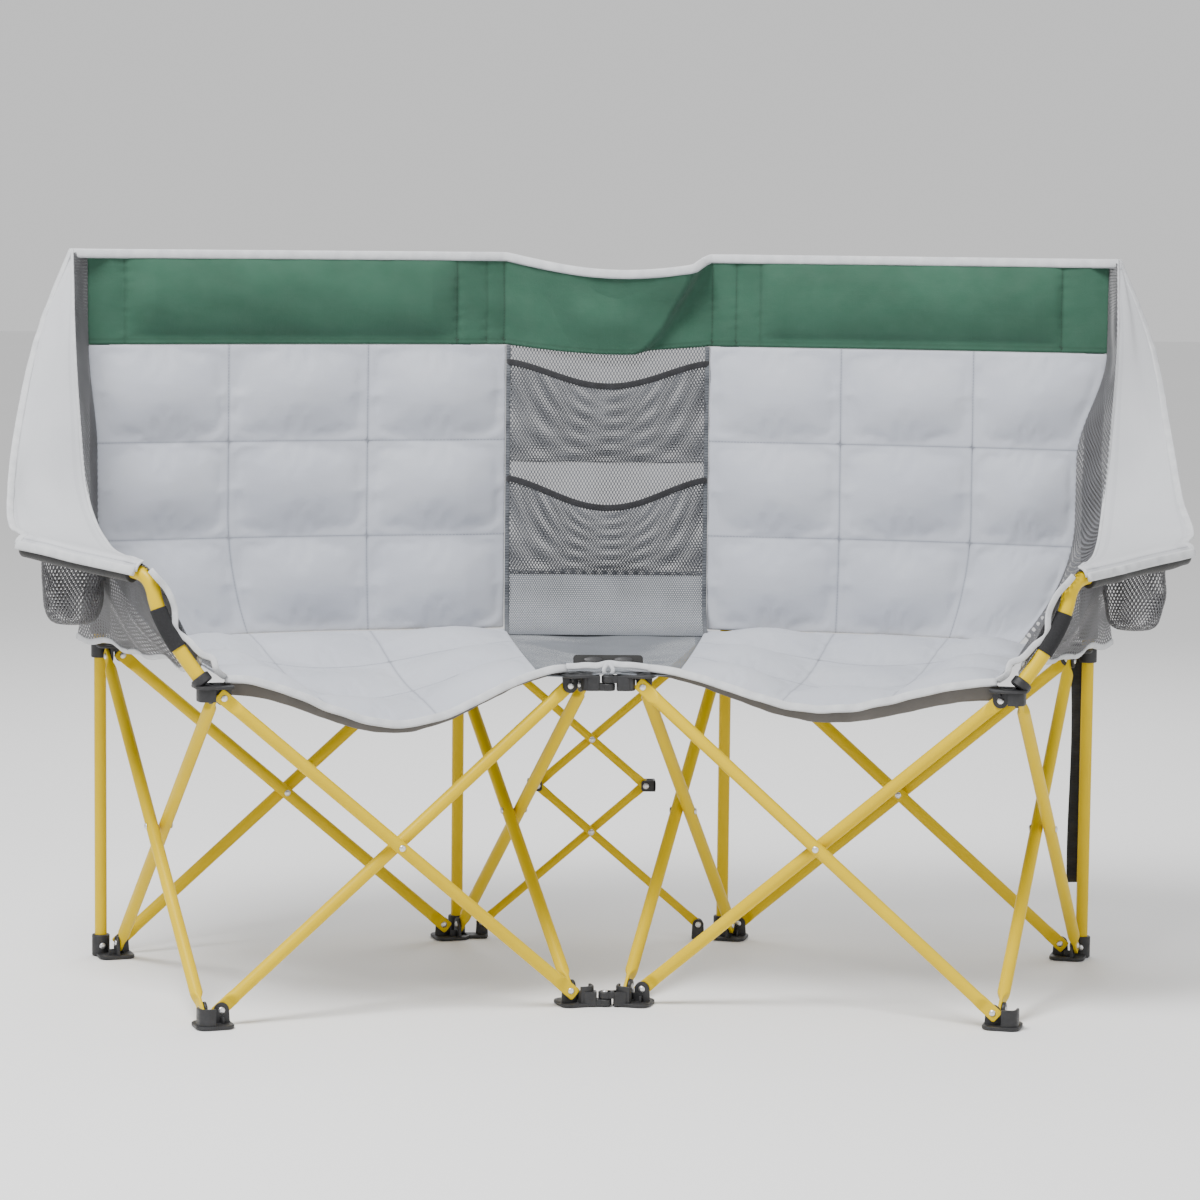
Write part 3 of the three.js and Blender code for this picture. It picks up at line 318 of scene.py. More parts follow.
def unit(vector):
    return vector / np.linalg.norm(vector)


def at_height(point, height):
    return vec(point[0], point[1], height)


def hump(share):
    return np.sin(np.pi * share)


def smooth(share):
    share = np.clip(share, 0, 1)
    return share * share * (3 - 2 * share)


def lerp(a, b, share):
    return a + (b - a) * share


class Plan:
    """Corners, faces and posts of one seat frame, seen from above."""

    def __init__(self, name, sign, origin_y):
        self.name = name
        self.sign = sign
        self.front = vec(sign * math.cos(FRONT_SWEEP), -math.sin(FRONT_SWEEP))
        self.side = vec(sign * SIDE_SPREAD_SHARE, math.sqrt(1 - SIDE_SPREAD_SHARE**2))
        self.forward = sign * np.cross(self.front, UP)
        inner = vec(sign * LINK_HALF_WIDTH, origin_y)
        outer = inner + self.front * FACE_LENGTH
        self.corners = {
            "front_inner": inner,
            "front_outer": outer,
            "back_inner": inner + self.side * FACE_LENGTH,
            "back_outer": outer + self.side * FACE_LENGTH,
        }
        ends = {
            "front": ("front_inner", "front_outer"),
            "outboard": ("front_outer", "back_outer"),
            "back": ("back_outer", "back_inner"),
            "inboard": ("back_inner", "front_inner"),
        }
        self.faces = {}
        for face, pair in ends.items():
            p, q = pair if sign > 0 else pair[::-1]
            heading = unit(self.corners[q] - self.corners[p])
            self.faces[face] = (p, q, heading, np.cross(heading, UP))
        away = self.front * POST_INSET
        back = self.side * POST_INSET
        self.posts = {
            "outer": self.corners["back_outer"] + away + back,
            "inner": self.corners["back_inner"] - away + back,
        }
        self.post_body = f"{name}_back_outer_foot"
        self.arm_body = f"{name}_front_outer_hub"

    def pivot(self, face, corner, outer_layer, height):
        p, _, heading, normal = self.faces[face]
        inwards = 1 if corner == p else -1
        layer = LAYER_OFFSET if outer_layer else -LAYER_OFFSET
        place = self.corners[corner] + heading * inwards * PIVOT_INSET + normal * layer
        return at_height(place, height)


post_low, post_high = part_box("right_inner_post")
origin_y = (post_low.y + post_high.y) / 2 - Plan("right", 1, 0).posts["inner"][1]
plans = {name: Plan(name, sign, origin_y) for name, sign in SIDES.items()}


# Materials

def set_socket(socket, value):
    """A link from another socket, a number, or a colour without its alpha."""
    if isinstance(value, bpy.types.NodeSocket):
        socket.node.id_data.links.new(value, socket)
    else:
        socket.default_value = (*value, 1) if isinstance(value, tuple) else value


class Shader:
    """A Principled material and short calls for the nodes that feed it."""

    def __init__(self, name, **values):
        self.material = bpy.data.materials.new(name)
        self.material.use_nodes = True
        self.tree = self.material.node_tree
        self.bsdf = self.tree.nodes["Principled BSDF"]
        for key, value in values.items():
            self.feed(key.replace("_", " "), value)

    def feed(self, name, value):
        set_socket(self.bsdf.inputs[name], value)

    def node(self, kind, inputs=(), **settings):
        made = self.tree.nodes.new(kind)
        for key, value in settings.items():
            setattr(made, key, value)
        for key, value in dict(inputs).items():
            set_socket(made.inputs[key], value)
        return made

    def math(self, operation, a, b=0.0, c=0.0):
        return self.node("ShaderNodeMath", {0: a, 1: b, 2: c}, operation=operation).outputs[0]

    def attribute(self, name):
        made = self.node("ShaderNodeAttribute", attribute_name=name)
        split = self.node("ShaderNodeSeparateXYZ", {0: made.outputs["Vector"]})
        return made.outputs["Vector"], split.outputs[0], split.outputs[1]

    def object_place(self):
        return self.node("ShaderNodeTexCoord").outputs["Object"]

    def noise(self, vector, scale, detail=3.0, roughness=0.5):
        return self.node("ShaderNodeTexNoise", {
            "Vector": vector, "Scale": scale, "Detail": detail, "Roughness": roughness}).outputs["Fac"]

    def ramp(self, factor, low, high):
        spread = {"Value": factor, "From Min": 0.3, "From Max": 0.7, "To Min": low, "To Max": high}
        return self.node("ShaderNodeMapRange", spread).outputs["Result"]

    def mix(self, factor, a, b):
        made = self.node("ShaderNodeMix", {"Factor": factor, "A": a, "B": b}, data_type="RGBA")
        return made.outputs["Result"]

    def clouds(self, vector, noise, colour, other):
        """Two colours in soft patches."""
        return self.mix(self.ramp(self.noise(vector, *noise), 0, 1), colour, other)

    def wave(self, coordinate, pitch):
        return self.math("SINE", self.math("MULTIPLY", coordinate, 2 * math.pi / pitch))

    def bump(self, height, distance, strength=1.0, normal=None):
        inputs = {"Height": height, "Distance": distance, "Strength": strength}
        if normal is not None:
            inputs["Normal"] = normal
        return self.node("ShaderNodeBump", inputs).outputs["Normal"]

    def stitches(self):
        """1 on the stitches that run beside a seam, from the mesh's seam coordinates."""
        _, distance, run = self.attribute("seam")
        row = self.math("LESS_THAN", self.math("ABSOLUTE", distance), STITCH_HALF_WIDTH)
        dash = self.math("FRACT", self.math("DIVIDE", run, STITCH_PITCH))
        return self.math("MULTIPLY", row, self.math("LESS_THAN", dash, STITCH_DASH_SHARE))

    def painted_seam_shade(self):
        """Painted shade in the crease beside a seam: up to its set share on the seam, 0 away from it."""
        _, distance, _ = self.attribute("seam")
        away = self.math("DIVIDE", self.math("ABSOLUTE", distance), SEAM_SHADE_HALF_WIDTH)
        near = self.math("MAXIMUM", self.math("SUBTRACT", 1.0, away), 0.0)
        return self.math("MULTIPLY", near, SEAM_SHADE_SHARE)


def hard_surface(name, patches, gloss, grain, **values):
    """Paint, plastic or steel: patches of two colours, an uneven gloss and a fine grain."""
    shader = Shader(name, **values)
    place = shader.object_place()
    if patches:
        shader.feed("Base Color", shader.clouds(place, *patches))
    shader.feed("Roughness", shader.ramp(shader.noise(place, *gloss[0]), *gloss[1]))
    shader.feed("Normal", shader.bump(shader.noise(place, grain[0], 2), *grain[1:]))
    return shader.material


def foam(name):
    shader = Shader(name, Roughness=0.95)
    cells = shader.node("ShaderNodeTexVoronoi", {"Vector": shader.object_place(), "Scale": 900})
    depth = cells.outputs["Distance"]
    shader.feed("Base Color", shader.mix(depth, (0.006, 0.006, 0.007), (0.022, 0.022, 0.024)))
    shader.feed("Normal", shader.bump(depth, 0.0005, 0.8))
    return shader.material


def woven(name, colour, shade, thread_and_seam_shade=None, sheen=0.25, creases=0.0012):
    """Woven polyester: yarns, a faint grid of thicker yarns, soft creases and, given a stitch colour,
    stitches in it and painted shade in it beside the seams.
    """
    shader = Shader(name, Roughness=0.86, Sheen_Weight=sheen, Sheen_Roughness=0.5)
    flat, across, down = shader.attribute("flat")
    yarns = shader.math("MULTIPLY", shader.wave(across, WEAVE_PITCH), shader.wave(down, WEAVE_PITCH))
    ribs = shader.math("MAXIMUM", *(
        shader.math("POWER", shader.math("ABSOLUTE", shader.wave(way, RIPSTOP_PITCH * 2)), 24.0)
        for way in (across, down)))
    base = shader.clouds(flat, (7, 4, 0.55), colour, shade)
    base = shader.mix(shader.math("MULTIPLY_ADD", yarns, 0.06, 0.06), base, shade)
    height = shader.math("ADD", yarns, shader.math("MULTIPLY", ribs, 0.6))
    normal = shader.bump(shader.noise(flat, 26, 4, 0.6), creases, 0.55)
    normal = shader.bump(height, WEAVE_PITCH / 9, 0.35, normal)
    if thread_and_seam_shade:
        stitch = shader.stitches()
        # painted shade: the cloth darkens towards the stitch colour in the crease beside each seam
        base = shader.mix(shader.painted_seam_shade(), base, thread_and_seam_shade)
        base = shader.mix(stitch, base, thread_and_seam_shade)
        normal = shader.bump(stitch, 0.0006, 0.7, normal)
    shader.feed("Base Color", base)
    shader.feed("Roughness", shader.ramp(shader.noise(flat, 40, 3), 0.8, 0.92))
    shader.feed("Normal", normal)
    return shader.material


def netting(name, colour, light, pitch, hole):
    """Knitted mesh with rounded diamond holes that are open."""
    shader = Shader(name, Roughness=0.8, Sheen_Weight=0.15)
    flat, across, down = shader.attribute("flat")

    def strands(way):
        slanted = shader.math(way, across, shader.math("MULTIPLY", down, NET_SLANT))
        return shader.math("ABSOLUTE", shader.wave(slanted, pitch * 2))

    openness = shader.math("MULTIPLY", strands("ADD"), strands("SUBTRACT"))
    shader.feed("Base Color", shader.clouds(flat, (16, 3), colour, light))
    shader.feed("Normal", shader.bump(openness, 0.0008, 0.6))
    shader.feed("Alpha", shader.math("LESS_THAN", openness, hole))
    return shader.material


def ribbed(name, colour, light, pitch):
    """Webbing, elastic or binding with ribs across its length."""
    shader = Shader(name, Roughness=0.85, Sheen_Weight=0.2)
    flat, _, down = shader.attribute("flat")
    ribs = shader.wave(down, pitch)
    tint = shader.clouds(flat, (60, 4), colour, light)
    shader.feed("Base Color", shader.mix(shader.math("MULTIPLY_ADD", ribs, 0.12, 0.12), tint, colour))
    shader.feed("Normal", shader.bump(ribs, pitch / 6, 0.5))
    return shader.material


YELLOW = hard_surface("yellow_enamel", ((9, 4), (0.68, 0.475, 0.0), (0.62, 0.425, 0.0)),
                      ((60, 5), (0.32, 0.46)), (900, 0.0003, 0.35), Roughness=0.38, Specular_IOR_Level=0.2)
PLASTIC = hard_surface("black_moulding", ((45, 6, 0.65), (0.010, 0.010, 0.011), (0.028, 0.028, 0.030)),
                       ((120, 4), (0.38, 0.62)), (1800, 0.0004, 0.45), Roughness=0.5, IOR=1.48)
STEEL = hard_surface("rivet_steel", None, ((700, 5), (0.24, 0.5)), (2500, 0.0002, 0.3),
                     Base_Color=(0.72, 0.72, 0.73), Metallic=1.0)
FOAM = foam("black_foam_cells")
GREY = woven("grey_weave", (0.50, 0.52, 0.57), (0.44, 0.46, 0.52), (0.25, 0.265, 0.31))
WING_GREY = woven("wing_weave", (0.54, 0.55, 0.57), (0.48, 0.49, 0.515), (0.29, 0.30, 0.325))
GREEN = woven("green_weave", (0.028, 0.098, 0.060), (0.019, 0.072, 0.043), (0.010, 0.045, 0.025), 0.08, 0.002)
LINING = woven("taupe_lining", (0.115, 0.105, 0.095), (0.085, 0.078, 0.07))
CHANNEL = woven("dark_channel", (0.009, 0.0088, 0.0085), (0.006, 0.006, 0.006))
NET = netting("dark_net", (0.085, 0.09, 0.105), (0.145, 0.152, 0.172), NET_PITCH, 0.36)
LOWER_NET = netting("lower_net", (0.145, 0.158, 0.178), (0.20, 0.215, 0.24), NET_FINE_PITCH, 0.70)
NET_EDGE = ribbed("net_edge", (0.055, 0.06, 0.07), (0.13, 0.14, 0.155), 4 * MM)
POCKET_NET = netting("pocket_net", (0.055, 0.058, 0.066), (0.12, 0.125, 0.136), NET_PITCH, 0.42)
GUSSET_NET = netting("gusset_net", (0.055, 0.055, 0.06), (0.12, 0.12, 0.128), NET_PITCH, 0.50)
CUP_NET = netting("cup_net", (0.07, 0.07, 0.074), (0.14, 0.14, 0.148), CUP_NET_PITCH, 0.40)
SIDE_NET = netting("side_net", (0.075, 0.075, 0.08), (0.14, 0.14, 0.148), CUP_NET_PITCH, 0.55)
BINDING = ribbed("pale_binding", (0.50, 0.51, 0.53), (0.62, 0.63, 0.64), 1.6 * MM)
ELASTIC = ribbed("black_elastic", (0.008, 0.008, 0.010), (0.02, 0.02, 0.024), 1.2 * MM)
WEBBING = ribbed("black_webbing", (0.010, 0.010, 0.011), (0.026, 0.026, 0.028), 2.2 * MM)

# A slot name for each material, which mesh_object looks up by a piece's first material. Rivets and the floor
# have none.
SLOTS = {
    "yellow_tube": [YELLOW],
    "black_plastic": [PLASTIC],
    "black_foam": [FOAM],
    "green_cloth": [GREEN],
    "grey_cloth": [GREY, WING_GREY, LINING, BINDING],
    "dark_mesh": [CHANNEL, NET, LOWER_NET, NET_EDGE, POCKET_NET, GUSSET_NET, CUP_NET, SIDE_NET, ELASTIC,
                  WEBBING],
}
slot_of = {material.name: slot for slot, materials in SLOTS.items() for material in materials}


# Meshes

def mesh_object(name, points, faces, materials, body, indices=None, crease=None, flat=None, seam=None,
                slot=None):
    """A finished mesh piece that rides on a body. flat and seam are a vector for each point."""
    mesh = bpy.data.meshes.new(name)
    mesh.from_pydata([tuple(p) for p in points], [], [tuple(f) for f in faces])
    materials = materials if isinstance(materials, list) else [materials]
    for material in materials:
        mesh.materials.append(material)
    if indices is not None:
        mesh.polygons.foreach_set("material_index", np.asarray(indices, np.int32))
    mesh.shade_smooth()
    if crease is not None:
        mesh.set_sharp_from_angle(angle=math.radians(crease))
    if flat is not None:
        seam = np.ones((len(points), 3)) if seam is None else seam
        for key, values in {"flat": flat, "seam": seam}.items():
            layer = mesh.attributes.new(key, "FLOAT_VECTOR", "POINT")
            layer.data.foreach_set("vector", np.asarray(values, np.float32).reshape(-1))
    mesh.update()
    piece = bpy.data.objects.new(name, mesh)
    bpy.context.scene.collection.objects.link(piece)
    if body:
        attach(piece, body)
    slot = slot or slot_of.get(materials[0].name)
    return piece


def joined_shells(shells):
    """One list of points and faces from several closed shells."""
    points, faces = [], []
    for shell_points, shell_faces in shells:
        offset = len(points)
        points.extend(shell_points)
        faces.extend([[k + offset for k in face] for face in shell_faces])
    return points, faces


def skin(rings):
    """A closed shell through rings of equally many points, with flat ends."""
    rings = [np.asarray(ring) for ring in rings]
    count = len(rings[0])
    points = [p for ring in rings for p in ring]
    faces = []
    for k in range(len(rings) - 1):
        for j in range(count):
            a, b = k * count + j, k * count + (j + 1) % count
            faces.append([a, b, b + count, a + count])
    last = (len(rings) - 1) * count
    faces.append(list(range(count))[::-1])
    faces.append(list(range(last, last + count)))
    centre = np.mean(rings[0], axis=0)
    edge = np.cross(rings[0][1] - centre, rings[0][count // 3] - centre)
    if np.dot(edge, np.mean(rings[1], axis=0) - centre) < 0:
        faces = [face[::-1] for face in faces]
    return points, faces


def circle(centre, x_axis, y_axis, radius, sides=24, ratio=1.0, power=2.0):
    """A ring of points: round at power 2, nearer to a rectangle above it."""
    angle = 2 * np.pi * np.arange(sides) / sides
    c, s = np.cos(angle), np.sin(angle)
    cx = np.sign(c) * np.abs(c) ** (2 / power)
    sy = np.sign(s) * np.abs(s) ** (2 / power)
    return centre + radius * (cx[:, None] * x_axis + ratio * sy[:, None] * y_axis)


def axes_across(direction):
    helper = UP if abs(direction[2]) < 0.9 else X
    x_axis = unit(np.cross(helper, direction))
    return x_axis, np.cross(direction, x_axis)


def rod(start, end, radius, sides=24, edge=ROD_EDGE):
    """A round bar with a small rounded edge at both ends."""
    direction = unit(end - start)
    x_axis, y_axis = axes_across(direction)
    stations = [(0, radius - edge), (edge, radius)]
    rings = [circle(start + direction * t, x_axis, y_axis, r, sides) for t, r in stations]
    rings += [circle(end - direction * t, x_axis, y_axis, r, sides) for t, r in stations[::-1]]
    return skin(rings)


def upright_rod(place, low, high, radius, sides, edge=1 * MM):
    return rod(at_height(place, low), at_height(place, high), radius, sides, edge)


def rivet_head(base, direction):
    """A domed head."""
    x_axis, y_axis = axes_across(direction)
    rings = [circle(base, x_axis, y_axis, RIVET_HEAD_RADIUS, 20)]
    for k in range(1, 6):
        angle = k / 6 * math.pi / 2
        rings.append(circle(base + direction * RIVET_HEAD_HEIGHT * math.sin(angle), x_axis, y_axis,
                            RIVET_HEAD_RADIUS * math.cos(angle) + 1e-5, 20))
    return skin(rings)


def slab(outline, origin, x_axis, y_axis, normal, thickness, edge=0.8 * MM):
    """A plate with rounded edges from an outline: a function of the inset that gives 2-D points."""
    rings = []
    for depth, inset in ((0, edge), (edge / 3, edge / 3), (edge, 0),
                         (thickness - edge, 0), (thickness - edge / 3, edge / 3), (thickness, edge)):
        rings.append([origin + x * x_axis + y * y_axis + depth * normal for x, y in outline(inset)])
    return skin(rings)


def rounded_rectangle(half_x, half_y, corner, steps=6):
    def outline(inset):
        points = []
        radius = max(corner - inset, 1e-4)
        for quarter, (sx, sy) in enumerate(((1, 1), (-1, 1), (-1, -1), (1, -1))):
            cx, cy = sx * (half_x - corner), sy * (half_y - corner)
            for k in range(steps + 1):
                angle = (quarter + k / steps) * math.pi / 2
                points.append((cx + radius * math.cos(angle), cy + radius * math.sin(angle)))
        return points
    return outline


def ear_outline(radius, reach, flare):
    """An ear: a half round top on straight sides that flare to its root."""
    def outline(inset):
        r = radius - inset
        points = [(-(r + flare), -reach), (r + flare, -reach)]
        return points + [(r * math.cos(a), r * math.sin(a)) for a in np.linspace(0, math.pi, 13)]
    return outline


def tangents_of(path):
    tangents = np.gradient(path, axis=0)
    return tangents / np.linalg.norm(tangents, axis=1, keepdims=True)


def frames_along(path):
    """Two cross axes at each point of a path, carried along without twist."""
    across, other, reference = [], [], UP
    for tangent in tangents_of(path):
        reference = unit(reference - tangent * np.dot(reference, tangent))
        across.append(reference)
        other.append(np.cross(tangent, reference))
    return np.array(across), np.array(other)


def swept(path, radius):
    return skin([circle(p, a, o, radius, 28) for p, a, o in zip(path, *frames_along(path))])


def run_lengths(path):
    steps = np.linalg.norm(np.diff(path, axis=0), axis=1)
    return np.concatenate([[0], np.cumsum(steps)])


def ripple(x, y, seed, scale):
    """Soft pseudo-random folds: a sum of seeded sine waves, about 1 high."""
    random = np.random.default_rng(seed)
    total = np.zeros(np.broadcast(x, y).shape)
    for _ in range(RIPPLE_WAVES):
        angle, phase = random.uniform(0, 2 * np.pi, 2)
        length = scale * random.uniform(0.6, 1.9)
        total = total + np.sin((x * math.cos(angle) + y * math.sin(angle)) * 2 * np.pi / length + phase)
    return total / math.sqrt(RIPPLE_WAVES)


def band_along(name, path, facing, material, body, half_width, half_thickness, wave=0.0, seed=0, slot=None):
    """A flat band, binding or strap along a path. facing gives the band's face at each point."""
    tangents = tangents_of(path)
    facing = np.broadcast_to(facing, path.shape)
    half_width = np.broadcast_to(half_width, len(path))
    lengths = run_lengths(path)
    if wave:
        path = path + facing * (ripple(lengths, lengths * 0, seed, 0.035) * wave)[:, None]
    rings, flat = [], []
    for point, tangent, face, length, half in zip(path, tangents, facing, lengths, half_width):
        face = unit(face - tangent * np.dot(face, tangent))
        side = np.cross(tangent, face)
        ring = circle(point, side, face, half, 12, half_thickness / half, 3.2)
        rings.append(ring)
        flat.extend([((p - point) @ side, length, 0) for p in ring])
    points, faces = skin(rings)
    return mesh_object(name, points, faces, material, body, flat=flat, slot=slot)


def normals_of(surface, u, v):
    du = surface(np.minimum(u + NORMAL_STEP, 1), v) - surface(np.maximum(u - NORMAL_STEP, 0), v)
    dv = surface(u, np.minimum(v + NORMAL_STEP, 1)) - surface(u, np.maximum(v - NORMAL_STEP, 0))
    normal = np.cross(du, dv)
    return normal / np.maximum(np.linalg.norm(normal, axis=-1, keepdims=True), 1e-12)


def unit_grid(columns, rows):
    v, u = np.meshgrid(np.linspace(0, 1, rows), np.linspace(0, 1, columns), indexing="ij")
    return u, v


def grid_faces(columns, rows, offset=0, flip=False):
    faces = []
    for row in range(rows - 1):
        for column in range(columns - 1):
            a = offset + row * columns + column
            face = [a, a + 1, a + 1 + columns, a + columns]
            faces.append(face[::-1] if flip else face)
    return faces


def closing_faces(columns, rows):
    """The strip round the rim that joins two grids of the same size."""
    half = columns * rows
    rim = list(range(columns - 1))
    rim += [row * columns + columns - 1 for row in range(rows - 1)]
    rim += [(rows - 1) * columns + column for column in range(columns - 1, 0, -1)]
    rim += [row * columns for row in range(rows - 1, 0, -1)]
    return [[a, half + a, half + b, b] for a, b in zip(rim, rim[1:] + rim[:1])]


def two_faced(name, front, back, flat, seam, body, materials, flip):
    """A closed piece between two grids of points: the first material in front, the last one behind."""
    rows, columns = front.shape[:2]
    half = rows * columns
    faces = grid_faces(columns, rows, 0, flip) + grid_faces(columns, rows, half, not flip)
    count = len(faces) // 2
    rim = closing_faces(columns, rows)
    faces += [face[::-1] for face in rim] if flip else rim
    points = np.concatenate([front.reshape(-1, 3), back.reshape(-1, 3)])
    indices = [0] * count + [len(materials) - 1] * count + [0] * len(rim)
    flat = flat.reshape(-1, 3)
    seam = seam.reshape(-1, 3)
    return mesh_object(name, points, faces, materials, body, indices,
                       flat=np.concatenate([flat, flat]), seam=np.concatenate([seam, seam]))


def cloth_sheet(name, surface, size, steps, body, materials, sign=1, thickness=NET_THICKNESS,
                relief=None, lines=None):
    """A closed sheet over surface(u, v). relief adds height to its front."""
    u, v = unit_grid(steps[0] + 1, steps[1] + 1)
    normal = normals_of(surface, u, v) * sign
    middle = surface(u, v)
    rise = thickness / 2 + (relief(u, v) if relief else 0)
    front = middle + normal * np.broadcast_to(rise, u.shape)[..., None]
    flat = np.stack([u * size[0], v * size[1], u * 0], -1)
    seam = lines(u * size[0], v * size[1]) if lines else np.ones(u.shape + (3,))
    return two_faced(name, front, middle - normal * (thickness / 2), flat, seam, body, materials, sign < 0)


def seam_lines(width, length, across=(), down=(), inset=None):
    """Seam coordinates: the distance to the nearest stitched line and the run along it."""
    def lines(x, y):
        best = np.full(x.shape, 1.0)
        run = np.zeros(x.shape)
        options = [(x - line, y) for line in down] + [(y - line, x) for line in across]
        if inset is not None:
            options += [(x - inset, y), (x - width + inset, y), (y - inset, x), (y - length + inset, x)]
        for distance, along in options:
            nearer = np.abs(distance) < np.abs(best)
            best = np.where(nearer, distance, best)
            run = np.where(nearer, along, run)
        return np.stack([np.abs(best), run, run * 0], -1)
    return lines


# The cover's surfaces

def back_point(plan, u, height):
    """The back from the inner post, u = 0, to the outer post, u = 1."""
    u, height = np.broadcast_arrays(np.asarray(u, float), np.asarray(height, float))
    lap = BACK_INNER_LAPS[plan.name]
    start = plan.posts["inner"] - plan.front * lap
    end = plan.posts["outer"] + plan.front * BACK_PAD_LAP
    share = (height - PAD_BOTTOM) / (BAND_BOTTOM - PAD_BOTTOM)
    tuck = np.maximum(0, 1 - share / BUCKET_RISE_SHARE) ** 2 * u**3
    span = np.linalg.norm(plan.posts["outer"] - plan.posts["inner"])
    past = u * np.linalg.norm(end - start) - lap
    sag = BACK_SAG * hump(np.clip(past / span, 0, 1)) * (1 - share / 2)
    point = start + (end - start) * u[..., None] - plan.front * (BUCKET_TUCK * tuck)[..., None]
    point = point + plan.forward * (BACK_STANDOFF + BUCKET_FORWARD * tuck - sag)[..., None]
    point[..., 2] = height
    return point


def seat_front(plan, u):
    inner = plan.corners["front_inner"] + plan.front * SEAT_CORNER_LAP
    outer = plan.corners["front_outer"] - plan.front * SEAT_CORNER_LAP
    point = inner + (outer - inner) * u[..., None]
    point = point + plan.side * (SEAT_SETBACK - SEAT_FRONT_BOW * hump(u))[..., None]
    point[..., 2] = SEAT_LEVEL - SEAT_FRONT_SAGS[plan.name] * hump(u) ** 2
    return point


def seat_rear(plan, u):
    point = back_point(plan, u, PAD_BOTTOM) + plan.forward * (2 * PAD_EDGE + SEAM_GAP)
    point[..., 2] = SEAT_LEVEL + SEAT_REAR_RISE * u
    return point


def seat_point(plan, u, v):
    u, v = np.broadcast_arrays(np.asarray(u, float), np.asarray(v, float))
    point = lerp(seat_front(plan, u), seat_rear(plan, u), v[..., None])
    point[..., 2] -= SEAT_MIDDLE_SAG * (hump(u) * hump(v)) ** 2
    return point


def back_outer_share(plan, height):
    """Where the padded back ends beside the net: it narrows below the headrest band."""
    return 1 - BACK_NARROWING_SHARES[plan.name] * smooth((BAND_BOTTOM - height) / NARROWING_RUN)


def seat_inner_share(v):
    """Where the seat pad ends beside the centre net, front to back."""
    return SEAT_INNER_SHARE * (1 - v)


def slack_share(inside, rise):
    """The slack between the two seats' bands: it bulges, then turns back sharply on the right."""
    fold = lerp(0.62, 0.91, rise**0.7)
    before = np.sin(np.clip(inside / fold, 0, 1) * np.pi / 2)
    after = np.exp(-(((inside - fold) / 0.055) ** 2)) * smooth((1 - inside) / 0.03)
    return np.where(inside < fold, before, after)


def band_point(share, height):
    """The headrest band from the left outer post, 0, to the right one, 1."""
    share, height = np.broadcast_arrays(np.asarray(share, float), np.asarray(height, float))
    left, right = plans["left"], plans["right"]
    on_left = back_point(left, np.clip(1 - share / BAND_SEAT_SHARE, 0, 1), height)
    on_right = back_point(right, np.clip((share - 1 + BAND_SEAT_SHARE) / BAND_SEAT_SHARE, 0, 1), height)
    across = (share - BAND_SEAT_SHARE) / (1 - 2 * BAND_SEAT_SHARE)
    inside = np.clip(across, 0, 1)
    centre = lerp(back_point(left, 0, height), back_point(right, 0, height), inside[..., None])
    rise = np.clip((height - BAND_BOTTOM) / (TOP_HEM - BAND_BOTTOM), 0, 1)
    slack = slack_share(inside, rise)
    centre[..., 1] -= BAND_SLACK * slack * lerp(BAND_LOW_SLACK_SHARE, 1, rise)
    centre[..., 2] -= BAND_DIP * lerp(hump(inside), slack, 0.4) * lerp(BAND_LOW_DIP_SHARE, 1, rise)
    point = np.where((across >= 1)[..., None], on_right, on_left)
    return np.where(((across > 0) & (across < 1))[..., None], centre, point)


def panel_point(u, height):
    """The flat net between the two backs."""
    left = back_point(plans["left"], 0, height) + X * SEAM_GAP
    right = back_point(plans["right"], 0, height) - X * SEAM_GAP
    return lerp(left, right, u[..., None])


def arm_of(plan):
    out = plan.sign * X
    root = at_height(plan.corners["front_outer"], HUB_PLATE_TOP + ARM_ROOT_RISE) + out * ARM_ROOT_SHIFT
    bend = root + vec(plan.sign * ARM_LEAN, ARM_BEND_RUN, ARM_RISE)
    tip = bend + vec(plan.sign * ARM_REACH, ARM_SETBACK, ARM_TIP_RISE)
    middle = (root + bend) / 2 + out * ARM_BOW
    before = lerp(bend, middle, ARM_BEND_RADIUS / np.linalg.norm(bend - middle))
    after = lerp(bend, tip, ARM_BEND_RADIUS / np.linalg.norm(bend - tip))
    return {"root": root, "middle": middle, "bend": bend, "tip": tip, "before": before, "after": after}


arms = {name: arm_of(plan) for name, plan in plans.items()}


def bezier(a, b, c, t):
    t = np.asarray(t, float)[..., None]
    return (1 - t) ** 2 * a + 2 * t * (1 - t) * b + t**2 * c


def arm_rise(arm, t):
    return bezier(arm["root"], arm["middle"], arm["before"], t)


class Through:
    """A centripetal Catmull-Rom curve through points."""

    def __init__(self, points):
        points = np.asarray(points, float)
        ends = [2 * points[0] - points[1], 2 * points[-1] - points[-2]]
        self.points = np.concatenate([[ends[0]], points, [ends[1]]])

    def __call__(self, t):
        spans = len(self.points) - 3
        place = np.clip(np.asarray(t, float), 0, 1) * spans
        k = np.minimum(place.astype(int), spans - 1)
        w = (place - k)[..., None]
        p0, p1, p2, p3 = (self.points[k + j] for j in range(4))
        d0, d1, d2 = (np.sqrt(np.linalg.norm(b - a, axis=-1, keepdims=True)) + 1e-9
                      for a, b in ((p0, p1), (p1, p2), (p2, p3)))
        m1 = ((p1 - p0) / d0 - (p2 - p0) / (d0 + d1) + (p2 - p1) / d1) * d1
        m2 = ((p2 - p1) / d1 - (p3 - p1) / (d1 + d2) + (p3 - p2) / d2) * d1
        return (p1 + m1 * w + (3 * (p2 - p1) - 2 * m1 - m2) * w**2
                + (2 * (p1 - p2) + m1 + m2) * w**3)


def beside_arm(plan, shares):
    """Points from shares: across to the wing's edge, back to the outer post, and up."""
    bend = arms[plan.name]["bend"]
    points = []
    for across, back, up in shares:
        z = lerp(bend[2], TOP_HEM, up - 1) if up > 1 else lerp(HUB_PLATE_TOP, bend[2], up)
        points.append(vec(bend[0] + plan.sign * WING_REACH * across,
                          lerp(bend[1], plan.posts["outer"][1], back), z))
    return points


